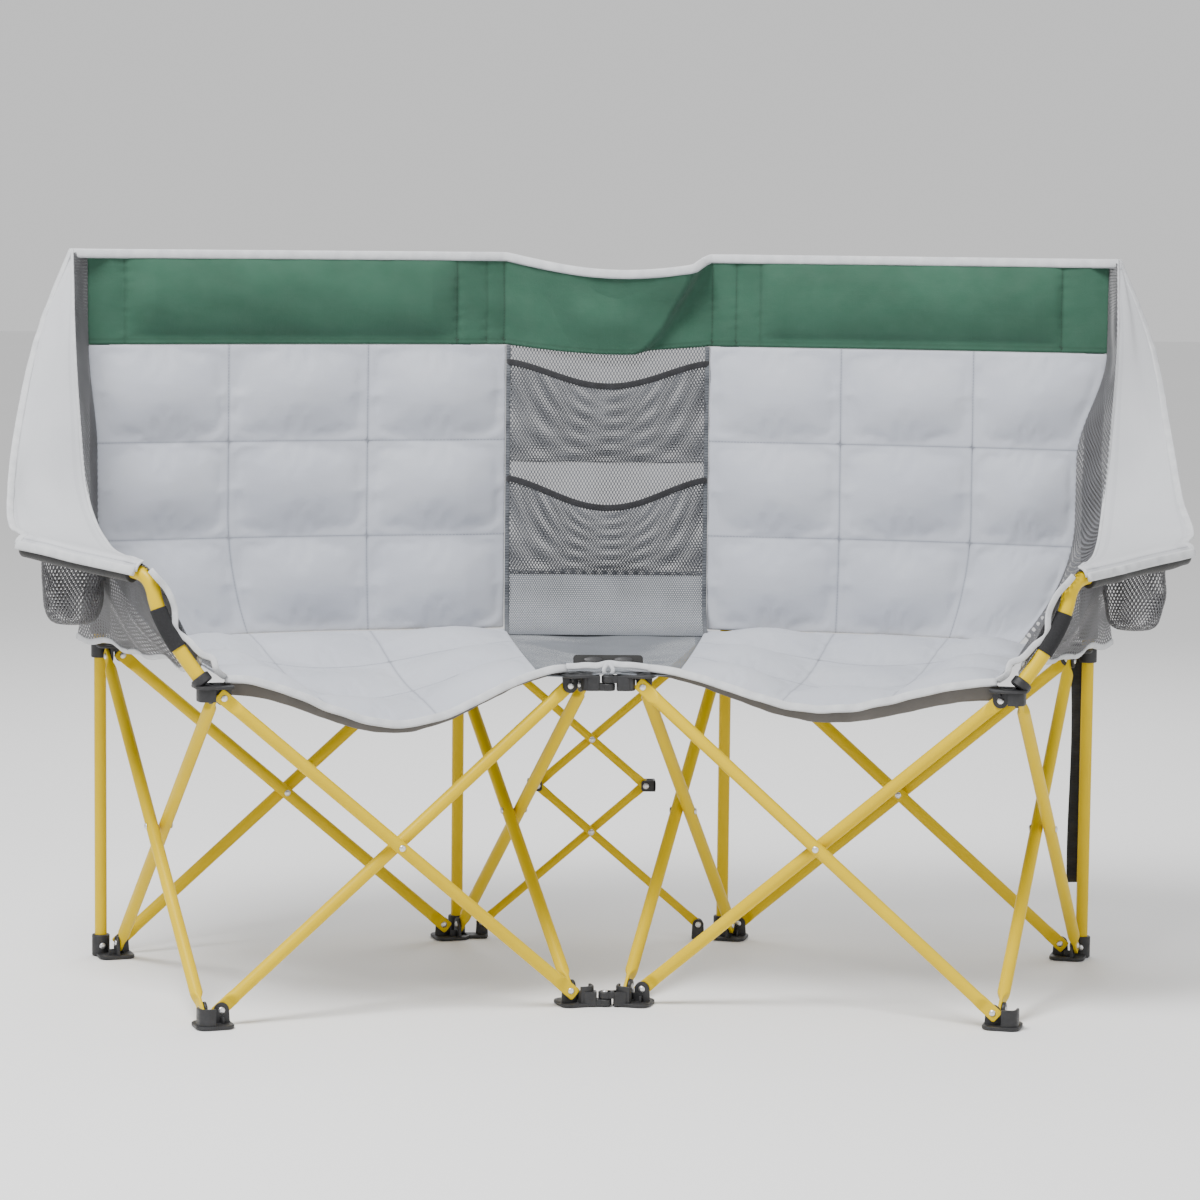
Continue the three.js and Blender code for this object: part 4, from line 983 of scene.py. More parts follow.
def wing_curves(plan):
    """The wing's seam with the gusset and its free edge, from the top hem to the arm."""
    arm = arms[plan.name]
    clear = UP * (ARM_RADIUS + CLOTH + 0.3 * MM)
    return [Through(beside_arm(plan, shares[plan.name]) + [lerp(arm["bend"], arm["tip"], share) + clear])
            for shares, share in ((WING_SEAM_SHARES, WING_START_SHARE), (WING_EDGE_SHARES, 1))]


def wing_point(plan):
    seam, edge = wing_curves(plan)

    def surface(u, v):
        u, v = np.broadcast_arrays(u, v)
        point = lerp(seam(v), edge(v), u[..., None])
        point[..., 0] += plan.sign * WING_BULGE * hump(u) * hump(v)
        return point
    return surface


def pad_edge_point(plan, share):
    """The padded back's outer edge, then the seat's outer edge, from the top forward."""
    off = vec(-plan.sign * 1.5 * MM, 2 * MM)
    down = np.clip(share / GUSSET_BACK_SHARE, 0, 1)
    height = lerp(TOP_HEM - 2 * MM, PAD_BOTTOM + 2 * PAD_EDGE, down)
    back = back_point(plan, back_outer_share(plan, height), height) + off
    ahead = np.clip((share - GUSSET_BACK_SHARE) / (1 - GUSSET_BACK_SHARE), 0, 1)
    seat = seat_point(plan, np.ones_like(share), 1 - ahead) + off + UP * PAD_EDGE
    return np.where((share < GUSSET_BACK_SHARE)[..., None], back, seat)


def gusset_point(plan):
    """The gusset from the padding, u = 0, to the wing and the arm. v goes from the top hem forward."""
    arm = arms[plan.name]
    beside = beside_arm(plan, np.array(WING_SEAM_SHARES[plan.name]) - GUSSET_INSIDE)
    jagged = [arm["bend"] + vec(-plan.sign * 1 * MM, -14 * MM, 7 * MM)]
    for share, inwards, ahead, up in ARM_FRONT_STEPS:
        jagged.append(arm_rise(arm, share) + vec(-plan.sign * inwards, -ahead, up) * MM)
    jagged.append(seat_point(plan, 1.0, 0.0) + vec(0, -2 * MM, 4 * MM))
    curve = Through(beside + jagged)
    reached = len(beside) / (len(beside) + len(jagged) - 1)

    def surface(u, v):
        outer = curve(np.interp(v, [0, FRONT_EDGE_SHARE, 1], [0, reached, 1]))
        return lerp(pad_edge_point(plan, v), outer, u[..., None])
    return surface


def side_panel_point(plan):
    clear = X * plan.sign * (ARM_RADIUS + 2 * CLOTH + 3 * SEAM_GAP)
    high, low = (arm_rise(arms[plan.name], share) - clear for share in GUSSET_ARM_SHARES)
    top = Through([high] + beside_arm(plan, PANEL_TOP_SHARES))
    bottom = Through([low] + beside_arm(plan, PANEL_LOW_SHARES))

    def surface(u, v):
        u, v = np.broadcast_arrays(u, v)
        point = lerp(bottom(u), top(u), v[..., None])
        point[..., 0] += plan.sign * SIDE_BULGE * hump(v) * hump(u)
        return point
    return surface


# Frame pieces

def body_of_node(node):
    bodies = frame["record"]["behaviour"]["bodies"]
    return next(body for body, nodes in bodies.items() if node in nodes)


def replace_node(node, shells, material):
    points, faces = joined_shells(shells)
    piece = mesh_object(f"{node}_fine", points, faces, material, body_of_node(node), crease=35)
    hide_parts(node)


def rivet_heads(name, places, body):
    """Domed steel heads: places are (point, outward direction) pairs."""
    points, faces = joined_shells([rivet_head(point, direction) for point, direction in places])
    mesh_object(name, points, faces, STEEL, body, crease=50)


def make_tube(node, start, end, normal, tube, rivet, share=0.5):
    """A tube with both ends pressed flat and, where rivet names it, the rivet at its crossing."""
    direction = unit(end - start)
    side = np.cross(normal, direction)
    length = np.linalg.norm(end - start)
    stations = [(tube.tab_width * x, width, 1) for x, width in TAB_END_STATIONS] + [(TAB_REACH, 1, 1)]
    stations += [(TAB_REACH + TAB_TAPER * k / 6, 1, 1 - k / 6) for k in range(1, 7)]
    stations += [(length * 0.3, 1, 0), (length / 2, 1, 0)]
    halves = []
    for origin, along in ((start, direction), (end, -direction)):
        halves.append([])
        for x, width, pressed in stations:
            pressed = float(smooth(pressed))
            half_width = lerp(tube.radius, tube.tab_width, pressed) * width
            half_depth = lerp(tube.radius, tube.tab_half, pressed)
            halves[-1].append(circle(origin + along * x, side, normal, half_width, 28,
                                     half_depth / half_width, 2 + 4 * pressed))
    replace_node(node, [skin(halves[0] + halves[1][-2::-1])], YELLOW)
    if rivet:
        middle = lerp(start, end, share)
        far = 2 * tube.layer + tube.radius
        rivet_heads(rivet, [(middle - normal * tube.radius, -normal), (middle + normal * far, normal)], node)


def make_crossed_tubes(plan):
    for face, (p, q, _, normal) in plan.faces.items():
        for letter, (low, high) in {"a": (q, p), "b": (p, q)}.items():
            start = plan.pivot(face, low, letter == "a", FOOT_PIVOT_HEIGHT)
            end = plan.pivot(face, high, letter == "a", HUB_PIVOT_HEIGHT)
            rivet = f"{plan.name}_{face}_middle_rivet" if letter == "b" else None
            make_tube(f"{plan.name}_{face}_tube_{letter}", start, end, normal, FRAME_TUBE, rivet)


def ear_reach(level):
    return FOOT_PIVOT_HEIGHT if level.upright else HUB_PLATE_DROP + HUB_PLATE_THICKNESS


def ears_of(plan, corner, level):
    """For each face at a corner: its ear with a rib, and its rivet heads."""
    shells, heads = [], []
    reach = ear_reach(level)
    vertical = UP if level.upright else -UP
    for face, (p, q, heading, normal) in plan.faces.items():
        if corner not in (p, q):
            continue
        outer_layer = (corner == p) != level.upright
        place = plan.pivot(face, corner, outer_layer, level.pivot)
        inner = FRAME_TUBE.tab_half + EAR_CLEARANCE
        out = -normal if outer_layer else normal
        outline = ear_outline(EAR_RADIUS, reach, EAR_FLARE)
        shells.append(slab(outline, place + out * inner, heading, vertical, out, EAR_THICKNESS))
        heads.append((place + out * (inner + EAR_THICKNESS), out))
        heads.append((place - out * FRAME_TUBE.tab_half, -out))
        rib = rounded_rectangle(*RIB_HALF_SIZE, 1.5 * MM, 3)
        root = place + out * (inner + EAR_THICKNESS + 4 * MM) - vertical * reach
        shells.append(slab(rib, root, out, heading, vertical, reach * RIB_HEIGHT_SHARE, 0.5 * MM))
    return shells, heads


def corner_signs(corner):
    """1 towards the outer side and the back, -1 towards the inner side and the front."""
    return (-1 if corner.endswith("inner") else 1), (-1 if corner.startswith("front") else 1)


def plate_centre(plan, corner):
    across, along = corner_signs(corner)
    return plan.corners[corner] - plan.front * across * PAD_SHIFT - plan.side * along * PAD_SHIFT


def corner_plate(plan, corner, low, high):
    outline = rounded_rectangle(PAD_HALF_WIDTH, PAD_HALF_WIDTH, PAD_CORNER)
    origin = at_height(plate_centre(plan, corner), low)
    return slab(outline, origin, plan.front, np.cross(UP, plan.front), UP, high - low, 1.2 * MM)


def corner_wall(plan, corner, low, high):
    """The upright wall that joins a corner's two ears round the outside of the corner."""
    centre = plate_centre(plan, corner)
    across, along = corner_signs(corner)
    square = np.cross(UP, plan.front) * plan.sign
    reach = PAD_HALF_WIDTH - WALL_INSET
    curve = Through([centre + plan.front * across * a * reach + square * along * b * reach
                     for a, b in WALL_PLAN])
    half = (high - low) / 2
    rings = []
    for t in np.linspace(0, 1, 17):
        tangent = unit(curve(min(t + 0.01, 1)) - curve(max(t - 0.01, 0)))
        rings.append(circle(at_height(curve(t), low + half), np.cross(tangent, UP), UP,
                            WALL_HALF_THICKNESS, 20, half / WALL_HALF_THICKNESS, 7))
    return skin(rings)


def link_shells(plan, low, high):
    """One half of the knuckle that pins the two inner front feet, or hubs, together."""
    sign = plan.sign
    middle = (low + high) / 2
    pin = vec(0, plan.corners["front_inner"][1] - LINK_PIN_SETBACK)
    bottom, top = (low, middle - 0.4 * MM) if sign < 0 else (middle + 0.4 * MM, high)
    arm = at_height(pin + X * sign * 20 * MM, low)
    finger = at_height(pin + X * sign * 8 * MM, bottom)
    return [
        upright_rod(pin, bottom, top, 9 * MM, 32),
        slab(rounded_rectangle(9 * MM, 8.5 * MM, 3 * MM, 4), arm, X, Y, UP, high - low),
        slab(rounded_rectangle(8 * MM, 7 * MM, 2 * MM, 4), finger, X, Y, UP, top - bottom),
        upright_rod(pin + vec(sign * LINK_ROOT, 1 * MM), low, high, 8.6 * MM, 28),
    ], (at_height(pin, high), UP)


def lattice_lug(plan, level):
    """The fork beside a back inner corner that holds a lattice tube, its tongue and its rivet heads."""
    corner = plan.corners["back_inner"]
    side = -plan.sign if level.upright else plan.sign
    pivot = vec(plan.sign * CROSS_SPAN * SIDE_SPREAD_SHARE, corner[1] + side * LATTICE_TUBE.layer,
                level.pivot)
    vertical = UP if level.upright else -UP
    shells, heads = [], []
    for facing in (-Y, Y):
        cheek = pivot + facing * (LATTICE_TUBE.tab_half + EAR_CLEARANCE)
        outline = ear_outline(LATTICE_CHEEK_RADIUS, ear_reach(level), 1 * MM)
        shells.append(slab(outline, cheek, X, vertical, facing, LATTICE_CHEEK_THICKNESS, 0.6 * MM))
        heads.append((cheek + facing * LATTICE_CHEEK_THICKNESS, facing))
    start = pivot[0] - plan.sign * LATTICE_CHEEK_RADIUS
    tongue = rounded_rectangle(abs(corner[0] - start) / 2, LATTICE_LUG_HALF_WIDTH, 4 * MM)
    low, high = level.plate
    shells.append(slab(tongue, vec((start + corner[0]) / 2, corner[1], low), X, Y, UP, high - low, 1 * MM))
    return shells, heads


def make_fittings(plan, level):
    """The four feet, or the four hubs, with their rivets."""
    for corner in plan.corners:
        node = f"{plan.name}_{corner}_{level.kind}"
        shells, heads = ears_of(plan, corner, level)
        shells.append(corner_plate(plan, corner, *level.plate))
        if corner.startswith("back"):
            post = plan.posts[corner.split("_")[1]]
            shells.append(upright_rod(post, *level.boss, BOSS_RADIUS, 36))
            if level.upright:
                place = at_height(post, FOOT_BOSS_HEIGHT / 2) + plan.forward * BOSS_RADIUS * 0.98
                heads.append((place, plan.forward))
        else:
            shells.append(corner_wall(plan, corner, *level.wall))
        if corner == "front_inner":
            link, pin_head = link_shells(plan, *level.link)
            shells += link
            if level.upright and plan.sign > 0:
                heads.append(pin_head)
        if corner == "back_inner":
            lug, pins = lattice_lug(plan, level)
            shells += lug
            heads += pins
        if corner == "front_outer" and not level.upright:
            root = arms[plan.name]["root"]
            direction = unit(arms[plan.name]["middle"] - root)
            shells.append(rod(root - direction * ARM_ROOT_RISE, root + direction * SOCKET_LENGTH,
                              SOCKET_RADIUS, 36, 1.5 * MM))
        replace_node(node, shells, PLASTIC)
        rivet_heads(f"{node}_rivets", heads, body_of_node(node))


def make_posts_and_arm(plan):
    for name, place in plan.posts.items():
        shell = upright_rod(place, FOOT_PLATE_THICKNESS + 0.3 * MM, POST_TOP, POST_RADIUS, 32, ROD_EDGE)
        replace_node(f"{plan.name}_{name}_post", [shell], YELLOW)
    arm = arms[plan.name]
    rise = arm_rise(arm, np.linspace(0, 1, 22))
    turn = bezier(arm["before"], arm["bend"], arm["after"], np.linspace(0, 1, 14))[1:]
    straight = [lerp(arm["after"], arm["tip"], k / 6) for k in range(1, 7)]
    replace_node(f"{plan.name}_arm_tube", [swept(np.concatenate([rise, turn, straight]), ARM_RADIUS)], YELLOW)
    sleeve = swept(arm_rise(arm, np.linspace(*SLEEVE_SHARES, 14)), SLEEVE_RADIUS)
    replace_node(f"{plan.name}_arm_sleeve", [sleeve], FOAM)


def make_lattice():
    y = plans["right"].corners["back_inner"][1]
    half = CROSS_SPAN * SIDE_SPREAD_SHARE
    run = half * 1.5
    rise = run * CROSS_RISE / CROSS_SPAN
    clip_height = FOOT_PIVOT_HEIGHT + rise
    tiers = {
        "lower": (half, FOOT_PIVOT_HEIGHT, 2 / 3, {"a": 1, "b": -1}),
        "upper": (half / 2, clip_height, 1 / 3, {"a": -1, "b": 1}),
    }
    for tier, (start_x, height, share, starts) in tiers.items():
        for letter, side in starts.items():
            start = vec(side * start_x, y - side * LATTICE_TUBE.layer, height)
            end = start + vec(-side * run, 0, rise)
            rivet = f"lattice_{tier}_rivet" if letter == "b" else None
            make_tube(f"lattice_{tier}_tube_{letter}", start, end, Y * side, LATTICE_TUBE, rivet, share)
    for name, sign in SIDES.items():
        node = f"{name}_lattice_clip"
        low, high = (np.array(corner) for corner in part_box(node))
        centre = (low + high) / 2
        half_x, half_y, half_z = (high - low) / 2
        half_depth = half_y - 2 * MM
        cheek = rounded_rectangle(half_x, half_z, 4 * MM)
        plates = ((-half_depth, 3 * MM), (-1.3 * MM, 2.6 * MM), (half_depth - 3 * MM, 3 * MM))
        shells = [slab(cheek, centre + Y * place, X, -UP, Y, thickness) for place, thickness in plates]
        web = rounded_rectangle(1.8 * MM, half_z, 1.2 * MM, 3)
        origin = centre + vec(sign * (half_x - 2.2 * MM), -half_depth)
        shells.append(slab(web, origin, X, -UP, Y, 2 * half_depth))
        replace_node(node, shells, PLASTIC)
        pin = vec(sign * half / 2, y, clip_height)
        rivet_heads(f"{name}_clip_pin", [(pin + facing * half_depth, facing) for facing in (-Y, Y)],
                    body_of_node(node))


# Padded cloth

def cell_dome(u, v):
    """1 in the middle of each quilted cell, 0 on its seams."""
    return np.abs(hump(u * PAD_COLUMNS) * hump(v * PAD_ROWS))


def off_seams(u, v, width, length):
    """Distances to the nearest seam down the pad and the nearest seam across it."""
    return (np.abs((u * PAD_COLUMNS + 0.5) % 1 - 0.5) * width / PAD_COLUMNS,
            np.abs((v * PAD_ROWS + 0.5) % 1 - 0.5) * length / PAD_ROWS)


def pucker(u, v, width, length):
    """Short wrinkles that leave the pad's seams at right angles, and a few long soft ones."""
    beside, above = off_seams(u, v, width, length)
    across = np.exp(-beside / PUCKER_REACH) * ripple(v * length, u * 0.4, 7, 0.020)
    down = np.exp(-above / PUCKER_REACH) * ripple(u * width, v * 0.4, 8, 0.022)
    on_seam = np.minimum(1, np.minimum(beside, above) / (4 * MM))
    return (PUCKER_HEIGHT * (across + down) + LONG_FOLD * ripple(u * width, v * length, 9, 0.16)) * on_seam


def quilt_heights(width, length):
    """Heights of a quilted pad's front face on a grid, from a cloth simulation with pinned seams."""
    columns = 3 * round(width / QUILT_STEP / 3) + 1
    rows = 3 * round(length / QUILT_STEP / 3) + 1
    u, v = unit_grid(columns, rows)
    cell = cell_dome(u, v)
    flat = np.stack([u * width, v * length, QUILT_START * cell**0.6], -1)
    below = flat.copy()
    below[..., 2] = -flat[..., 2] - 0.5 * MM
    half = rows * columns
    faces = grid_faces(columns, rows) + grid_faces(columns, rows, half, True) + closing_faces(columns, rows)
    points = np.concatenate([flat.reshape(-1, 3), below.reshape(-1, 3)])
    mesh = bpy.data.meshes.new("quilt")
    mesh.from_pydata(points.tolist(), [], faces)
    pad = bpy.data.objects.new("quilt", mesh)
    bpy.context.scene.collection.objects.link(pad)
    seams = pad.vertex_groups.new(name="seams")
    beside, above = off_seams(u, v, width, length)
    pinned = np.flatnonzero((np.minimum(beside, above) < SEAM_HALF_WIDTH).reshape(-1))
    seams.add(pinned.tolist() + list(range(half, 2 * half)), 1.0, "REPLACE")
    cloth = pad.modifiers.new("Cloth", "CLOTH")
    for key, value in QUILT_CLOTH.items():
        setattr(cloth.settings, key, value)
    cloth.settings.effector_weights.gravity = 0
    cloth.point_cache.frame_start = 1
    cloth.point_cache.frame_end = QUILT_FRAMES
    scene = bpy.context.scene
    for number in range(1, QUILT_FRAMES + 1):
        scene.frame_set(number)
    moved = np.zeros(len(points) * 3, np.float32)
    evaluated = pad.evaluated_get(bpy.context.evaluated_depsgraph_get())
    evaluated.data.vertices.foreach_get("co", moved)
    scene.frame_set(1)
    bpy.data.objects.remove(pad)
    moved = moved.reshape(-1, 3)[:half].reshape(rows, columns, 3)
    rise = np.maximum(moved[..., 2], 0)
    rise *= min(1, QUILT_CAP / np.percentile(rise, 99)) * lerp(QUILT_RIM_SHARE, 1, cell**0.8)
    puffed = flat + np.clip(moved - flat, -QUILT_SLIDE, QUILT_SLIDE)
    puffed[..., 2] = np.maximum(rise + pucker(u, v, width, length), 0)
    return puffed


quilt_points = quilt_heights(*PAD_FLAT)


def quilted_pad(name, plan, surface, size, body, turned):
    """A quilted pad laid on surface(u, v), with the lining on its far side."""
    quilt = quilt_points
    if turned:
        quilt = quilt[::-1, ::-1].copy()
        quilt[..., :2] = PAD_FLAT - quilt[..., :2]
    u = np.clip(quilt[..., 0] / PAD_FLAT[0], 0, 1)
    v = np.clip(quilt[..., 1] / PAD_FLAT[1], 0, 1)
    normal = normals_of(surface, u, v) * plan.sign
    middle = surface(u, v)
    front = middle + normal * (quilt[..., 2] + 1.2 * MM)[..., None]
    back = middle - normal * (1.0 * MM + 4 * MM * cell_dome(u, v) ** 0.6)[..., None]
    x, y = u * size[0], v * size[1]
    down = [size[0] * k / PAD_COLUMNS for k in range(1, PAD_COLUMNS)]
    across = [size[1] * k / PAD_ROWS for k in range(1, PAD_ROWS)]
    seam = seam_lines(*size, across, down)(x, y)
    pad = two_faced(f"{plan.name}_{name}_quilt", front, back, np.stack([x, y, u * 0], -1), seam, body,
                    [GREY, LINING], plan.sign < 0)
    smoother = pad.modifiers.new("Subdivision", "SUBSURF")
    smoother.levels = 1
    smoother.render_levels = 1
    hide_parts(f"{plan.name}_{name}_pad")
    return pad


def squash_seat(piece, plan):
    """Gives a seat piece, or a piece between the seats, its own copy of its mesh."""
    if plan:
        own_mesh(piece)
    else:
        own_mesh(piece)


def squash_wide(piece):
    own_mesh(piece)


def squash_to_post(piece):
    """Gives cloth between a post's top and the arm its own copy of its mesh."""
    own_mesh(piece)


def make_pads(plan):
    mirrored = plan.sign < 0

    def back(u, v):
        height = lerp(PAD_BOTTOM, BAND_BOTTOM - 0.3 * MM, v)
        outer_cell = np.clip(u * PAD_COLUMNS - PAD_COLUMNS + 1, 0, 1) ** 1.4
        return back_point(plan, u - (1 - back_outer_share(plan, height)) * outer_cell, height)

    def seat(u, v):
        return seat_point(plan, lerp(seat_inner_share(v), 1, u), v)

    pad = quilted_pad("back", plan, back, BACK_SEWN, plan.post_body, mirrored)
    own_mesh(pad)
    pad = quilted_pad("seat", plan, seat, SEAT_SEWN, SLING, not mirrored)
    squash_seat(pad, plan)


def band_relief(u, v):
    """Height of the band's front: two pillows, soft folds, a bulging slack and puckered stitches."""
    height = TOP_HEM - BAND_BOTTOM
    rise = np.zeros(np.broadcast(u, v).shape)
    for low, high in PILLOW_SPANS:
        share = np.clip((u - low) / (high - low), 0, 1)
        profile = np.minimum(1, 12 * np.minimum(share, 1 - share)) ** 0.6
        swell = np.clip(hump(np.clip(v * 1.16 - 0.12, 0, 1)), 0, 1) ** 0.75
        rise = np.where((u > low) & (u < high), BAND_PILLOW * profile * swell, rise)
    folds = BAND_FOLD * ripple(u * BAND_WIDTH, v * height, 11, 0.10) * hump(v)
    slack = hump(np.clip((u - BAND_SEAT_SHARE) / (1 - 2 * BAND_SEAT_SHARE), 0, 1))
    loose = ripple(u * BAND_WIDTH, v * height * 1.6, 15, 0.17)
    folds = folds + SLACK_FOLD * slack * hump(v * 0.8 + 0.1) * loose
    seams = sum(np.exp(-np.abs(u - share) * BAND_WIDTH / (5 * MM)) for share in BAND_STITCH_SHARES)
    gather = np.minimum(seams, 1) * ripple(v * height, u * 0.2, 16, 0.018)
    return rise + folds - 1.2 * MM * np.minimum(seams, 1) + 0.8 * MM * gather


def make_band():
    size = (BAND_WIDTH, TOP_HEM - BAND_BOTTOM)

    def surface(u, v):
        return band_point(u, lerp(BAND_BOTTOM, TOP_HEM - BAND_HEM, v))

    lines = seam_lines(*size, [BAND_HEM], [share * BAND_WIDTH for share in BAND_STITCH_SHARES])
    band = cloth_sheet("headrest_band_cloth", surface, size, (420, 34), CENTRE_BODY, [GREEN], 1, 2 * CLOTH,
                       band_relief, lines)
    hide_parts("headrest_band")
    squash_wide(band)
    path = band_point(np.linspace(0, 1, 170), TOP_HEM - 6 * MM)
    corners = {name: [curve(0.0) - UP * 5.5 * MM for curve in wing_curves(plan)]
               for name, plan in plans.items()}
    path = np.concatenate([corners["left"][::-1], path[3:-3], corners["right"]])
    hem = band_along("top_hem_binding", path, vec(0, -1, 0.1), BINDING, CENTRE_BODY, *TOP_HEM_TRIM)
    squash_wide(hem)


# Cloth sheets

def make_pocket(index, name, top, bottom, dip):
    depth = top - bottom

    def surface(u, v):
        point = panel_point(u, lerp(bottom, top - dip * hump(u) ** 1.6, v))
        out = (1 - np.abs(2 * u - 1) ** 3) * (1 - (1 - v) ** 3)
        crumple = hump(u) * hump(np.clip(v * 0.9, 0, 1))
        crumple = crumple * ripple(u * CENTRE_WIDTH, v * depth, 31 + index, 0.055)
        point[..., 1] -= POCKET_BULGE * out + POCKET_CRUMPLE * crumple + 1 * MM
        return point

    piece = cloth_sheet(f"{name}_pocket_net", surface, (POCKET_WIDTH, depth), (56, 34), CENTRE_BODY,
                        [POCKET_NET])
    path = surface(np.linspace(0, 1, 60), np.ones(60)) - Y * 1 * MM
    hem = band_along(f"{name}_pocket_elastic", path, -Y, ELASTIC, CENTRE_BODY, *POCKET_TRIM, 40 + index)
    for part in (piece, hem):
        squash_wide(part)


def make_centre_back():
    high = BAND_BOTTOM - 0.6 * MM
    length = high - CENTRE_BOTTOM

    def panel(u, v):
        turn = np.clip(v / CORNER_SHARE, 0, 1) * math.pi / 2
        above = np.clip((v - CORNER_SHARE) / (1 - CORNER_SHARE), 0, 1)
        curved = CENTRE_BOTTOM + CENTRE_CORNER * (1 - np.cos(turn))
        height = np.where(v < CORNER_SHARE, curved, lerp(CENTRE_BOTTOM + CENTRE_CORNER, high, above))
        point = panel_point(u, height)
        loose = hump(u) * hump(above) ** 0.5 * 3 * MM
        point[..., 1] += loose * ripple(u * CENTRE_WIDTH, v * length, 21, 0.10)
        point[..., 1] -= CENTRE_CORNER * (1 - np.sin(turn))
        return point

    sheet = cloth_sheet("centre_back_net", panel, (CENTRE_WIDTH, length), (48, 64), CENTRE_BODY,
                        [NET, LOWER_NET])
    lower = [int(face.center.z < LOWER_NET_TOP) for face in sheet.data.polygons]
    sheet.data.polygons.foreach_set("material_index", lower)
    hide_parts("centre_back_mesh")
    squash_wide(sheet)
    for side, u in {"left": 0.008, "right": 0.992}.items():
        path = panel(np.full(120, u), np.linspace(0, 1, 120)) - Y * 2 * MM
        edge = band_along(f"{side}_centre_net_edge", path, vec(0, -1, 0.05), NET_EDGE, CENTRE_BODY,
                          *NET_EDGE_TRIM)
        squash_wide(edge)
    for index, (name, heights) in enumerate(POCKETS.items()):
        make_pocket(index, name, *heights)


def make_centre_seat():
    width, length = SEAT_NET_SIZE

    def surface(u, v):
        share = seat_inner_share(v)
        point = lerp(seat_point(plans["left"], share, v), seat_point(plans["right"], share, v), u[..., None])
        sag = MESH_SEAT_SAG * (hump(u) * hump(v)) ** 2
        point[..., 2] -= PAD_EDGE + sag - 1.5 * MM * hump(u) * ripple(u * width, v * length, 51, 0.12)
        behind = smooth((v * length - length + 1.3 * CENTRE_CORNER) / (1.3 * CENTRE_CORNER))
        target = panel_point(u, np.full(u.shape, CENTRE_BOTTOM + 0.5 * MM))
        target[..., 1] -= CENTRE_CORNER * 0.93
        return lerp(point, target, (behind**2)[..., None])

    sheet = cloth_sheet("centre_seat_net", surface, SEAT_NET_SIZE, (40, 60), SLING, [LOWER_NET])
    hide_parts("centre_seat_mesh")
    squash_seat(sheet, None)


def make_wing(plan):
    """The cloth over the arm, which wraps round the arm's channel at its lower end."""
    smooth_wing = wing_point(plan)
    arm = arms[plan.name]
    ahead = unit(np.cross(unit(arm["tip"] - arm["bend"]), UP)) * plan.sign
    lift = WRAP_RADIUS - ARM_RADIUS - CLOTH - 0.3 * MM

    def surface(u, v):
        u, v = np.broadcast_arrays(u, v)
        down = np.clip(v / WRAP_SHARE, 0, 1)
        point = smooth_wing(u, down)
        fold = hump(u) * 3.2 * MM * ripple(u * WING_SIZE[0], v * WING_SIZE[1], 60 + plan.sign, 0.11)
        point[..., 0] += plan.sign * fold
        turn = np.clip((v - WRAP_SHARE) / (1 - WRAP_SHARE), 0, 1) * WRAP_TURN
        point = point + (WRAP_RADIUS * np.sin(turn))[..., None] * ahead
        point[..., 2] += lift * smooth(5 * down - 4) - WRAP_RADIUS * (1 - np.cos(turn))
        return point

    wing = cloth_sheet(f"{plan.name}_wing_cloth", surface, WING_SIZE, (30, 90), plan.post_body,
                       [WING_GREY, LINING], -plan.sign, CLOTH, None, seam_lines(*WING_SIZE, inset=11 * MM))
    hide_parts(f"{plan.name}_wing")
    pieces = [wing]

    def trim(name, path, facing, values):
        pieces.append(band_along(f"{plan.name}_wing_{name}", path, facing, BINDING, plan.post_body, *values))

    t, u = np.linspace(0, 1, 100), np.linspace(0, 1, 50)
    edge, seam = np.ones(100), np.zeros(100)
    trim("edge_binding", surface(edge, t), -normals_of(smooth_wing, edge, t) * plan.sign, WING_EDGE_TRIM)
    trim("arm_binding", surface(u, np.ones(50)) + ahead * 1.5 * MM, ahead + UP * 0.2, WING_ARM_TRIM)
    trim("seam_cord", surface(seam, t), -normals_of(smooth_wing, seam, t) * plan.sign, WING_CORD_TRIM)
    for piece in pieces:
        squash_to_post(piece)


def make_side_cloth(plan):
    """The net beside the padding, in two parts, and the panel below the arm."""
    name, sign, body = plan.name, plan.sign, plan.arm_body
    gusset_of, panel_of = gusset_point(plan), side_panel_point(plan)

    def gusset(u, v):
        u, v = np.broadcast_arrays(u, v)
        point = gusset_of(u, v)
        point[..., 0] += sign * hump(u) * hump(v) * 3 * MM * ripple(u * 0.08, v * 0.9, 80 + sign, 0.12)
        return point

    def panel(u, v):
        point = panel_of(u, v)
        point[..., 0] += sign * hump(u) * 4 * MM * ripple(u * 0.4, v * 0.12, 90 + sign, 0.09)
        point[..., 2] += (1 - v) * 5 * MM * ripple(u * 0.4, u * 0, 94, 0.07)
        return point

    high = cloth_sheet(f"{name}_high_gusset_net", lambda u, v: gusset(u, v * GUSSET_SPLIT), (0.07, 0.44),
                       (18, 80), plan.post_body, [GUSSET_NET], sign)
    squash_to_post(high)
    low = cloth_sheet(f"{name}_low_gusset_net", lambda u, v: gusset(u, lerp(GUSSET_SPLIT, 1, v)),
                      (0.14, 0.46), (18, 70), body, [GUSSET_NET], sign)
    side = cloth_sheet(f"{name}_side_panel", panel, (0.38, 0.12), (70, 24), body, [SIDE_NET], sign)
    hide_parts(f"{name}_side_cloth")
    u, bottom = np.linspace(0, 1, 90), np.zeros(90)
    facing = normals_of(panel_of, u, bottom) * sign
    binding = band_along(f"{name}_side_binding", panel(u, bottom), facing, BINDING, body, *SIDE_TRIM)
    path = gusset(np.ones(110), np.linspace(FRONT_EDGE_SHARE, 1, 110))
    front = band_along(f"{name}_arm_front_binding", path, vec(sign * 0.3, -1, 0.3), BINDING, body,
                       *ARM_FRONT_TRIM)
    for piece in (side, binding, front, low):
        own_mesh(piece)


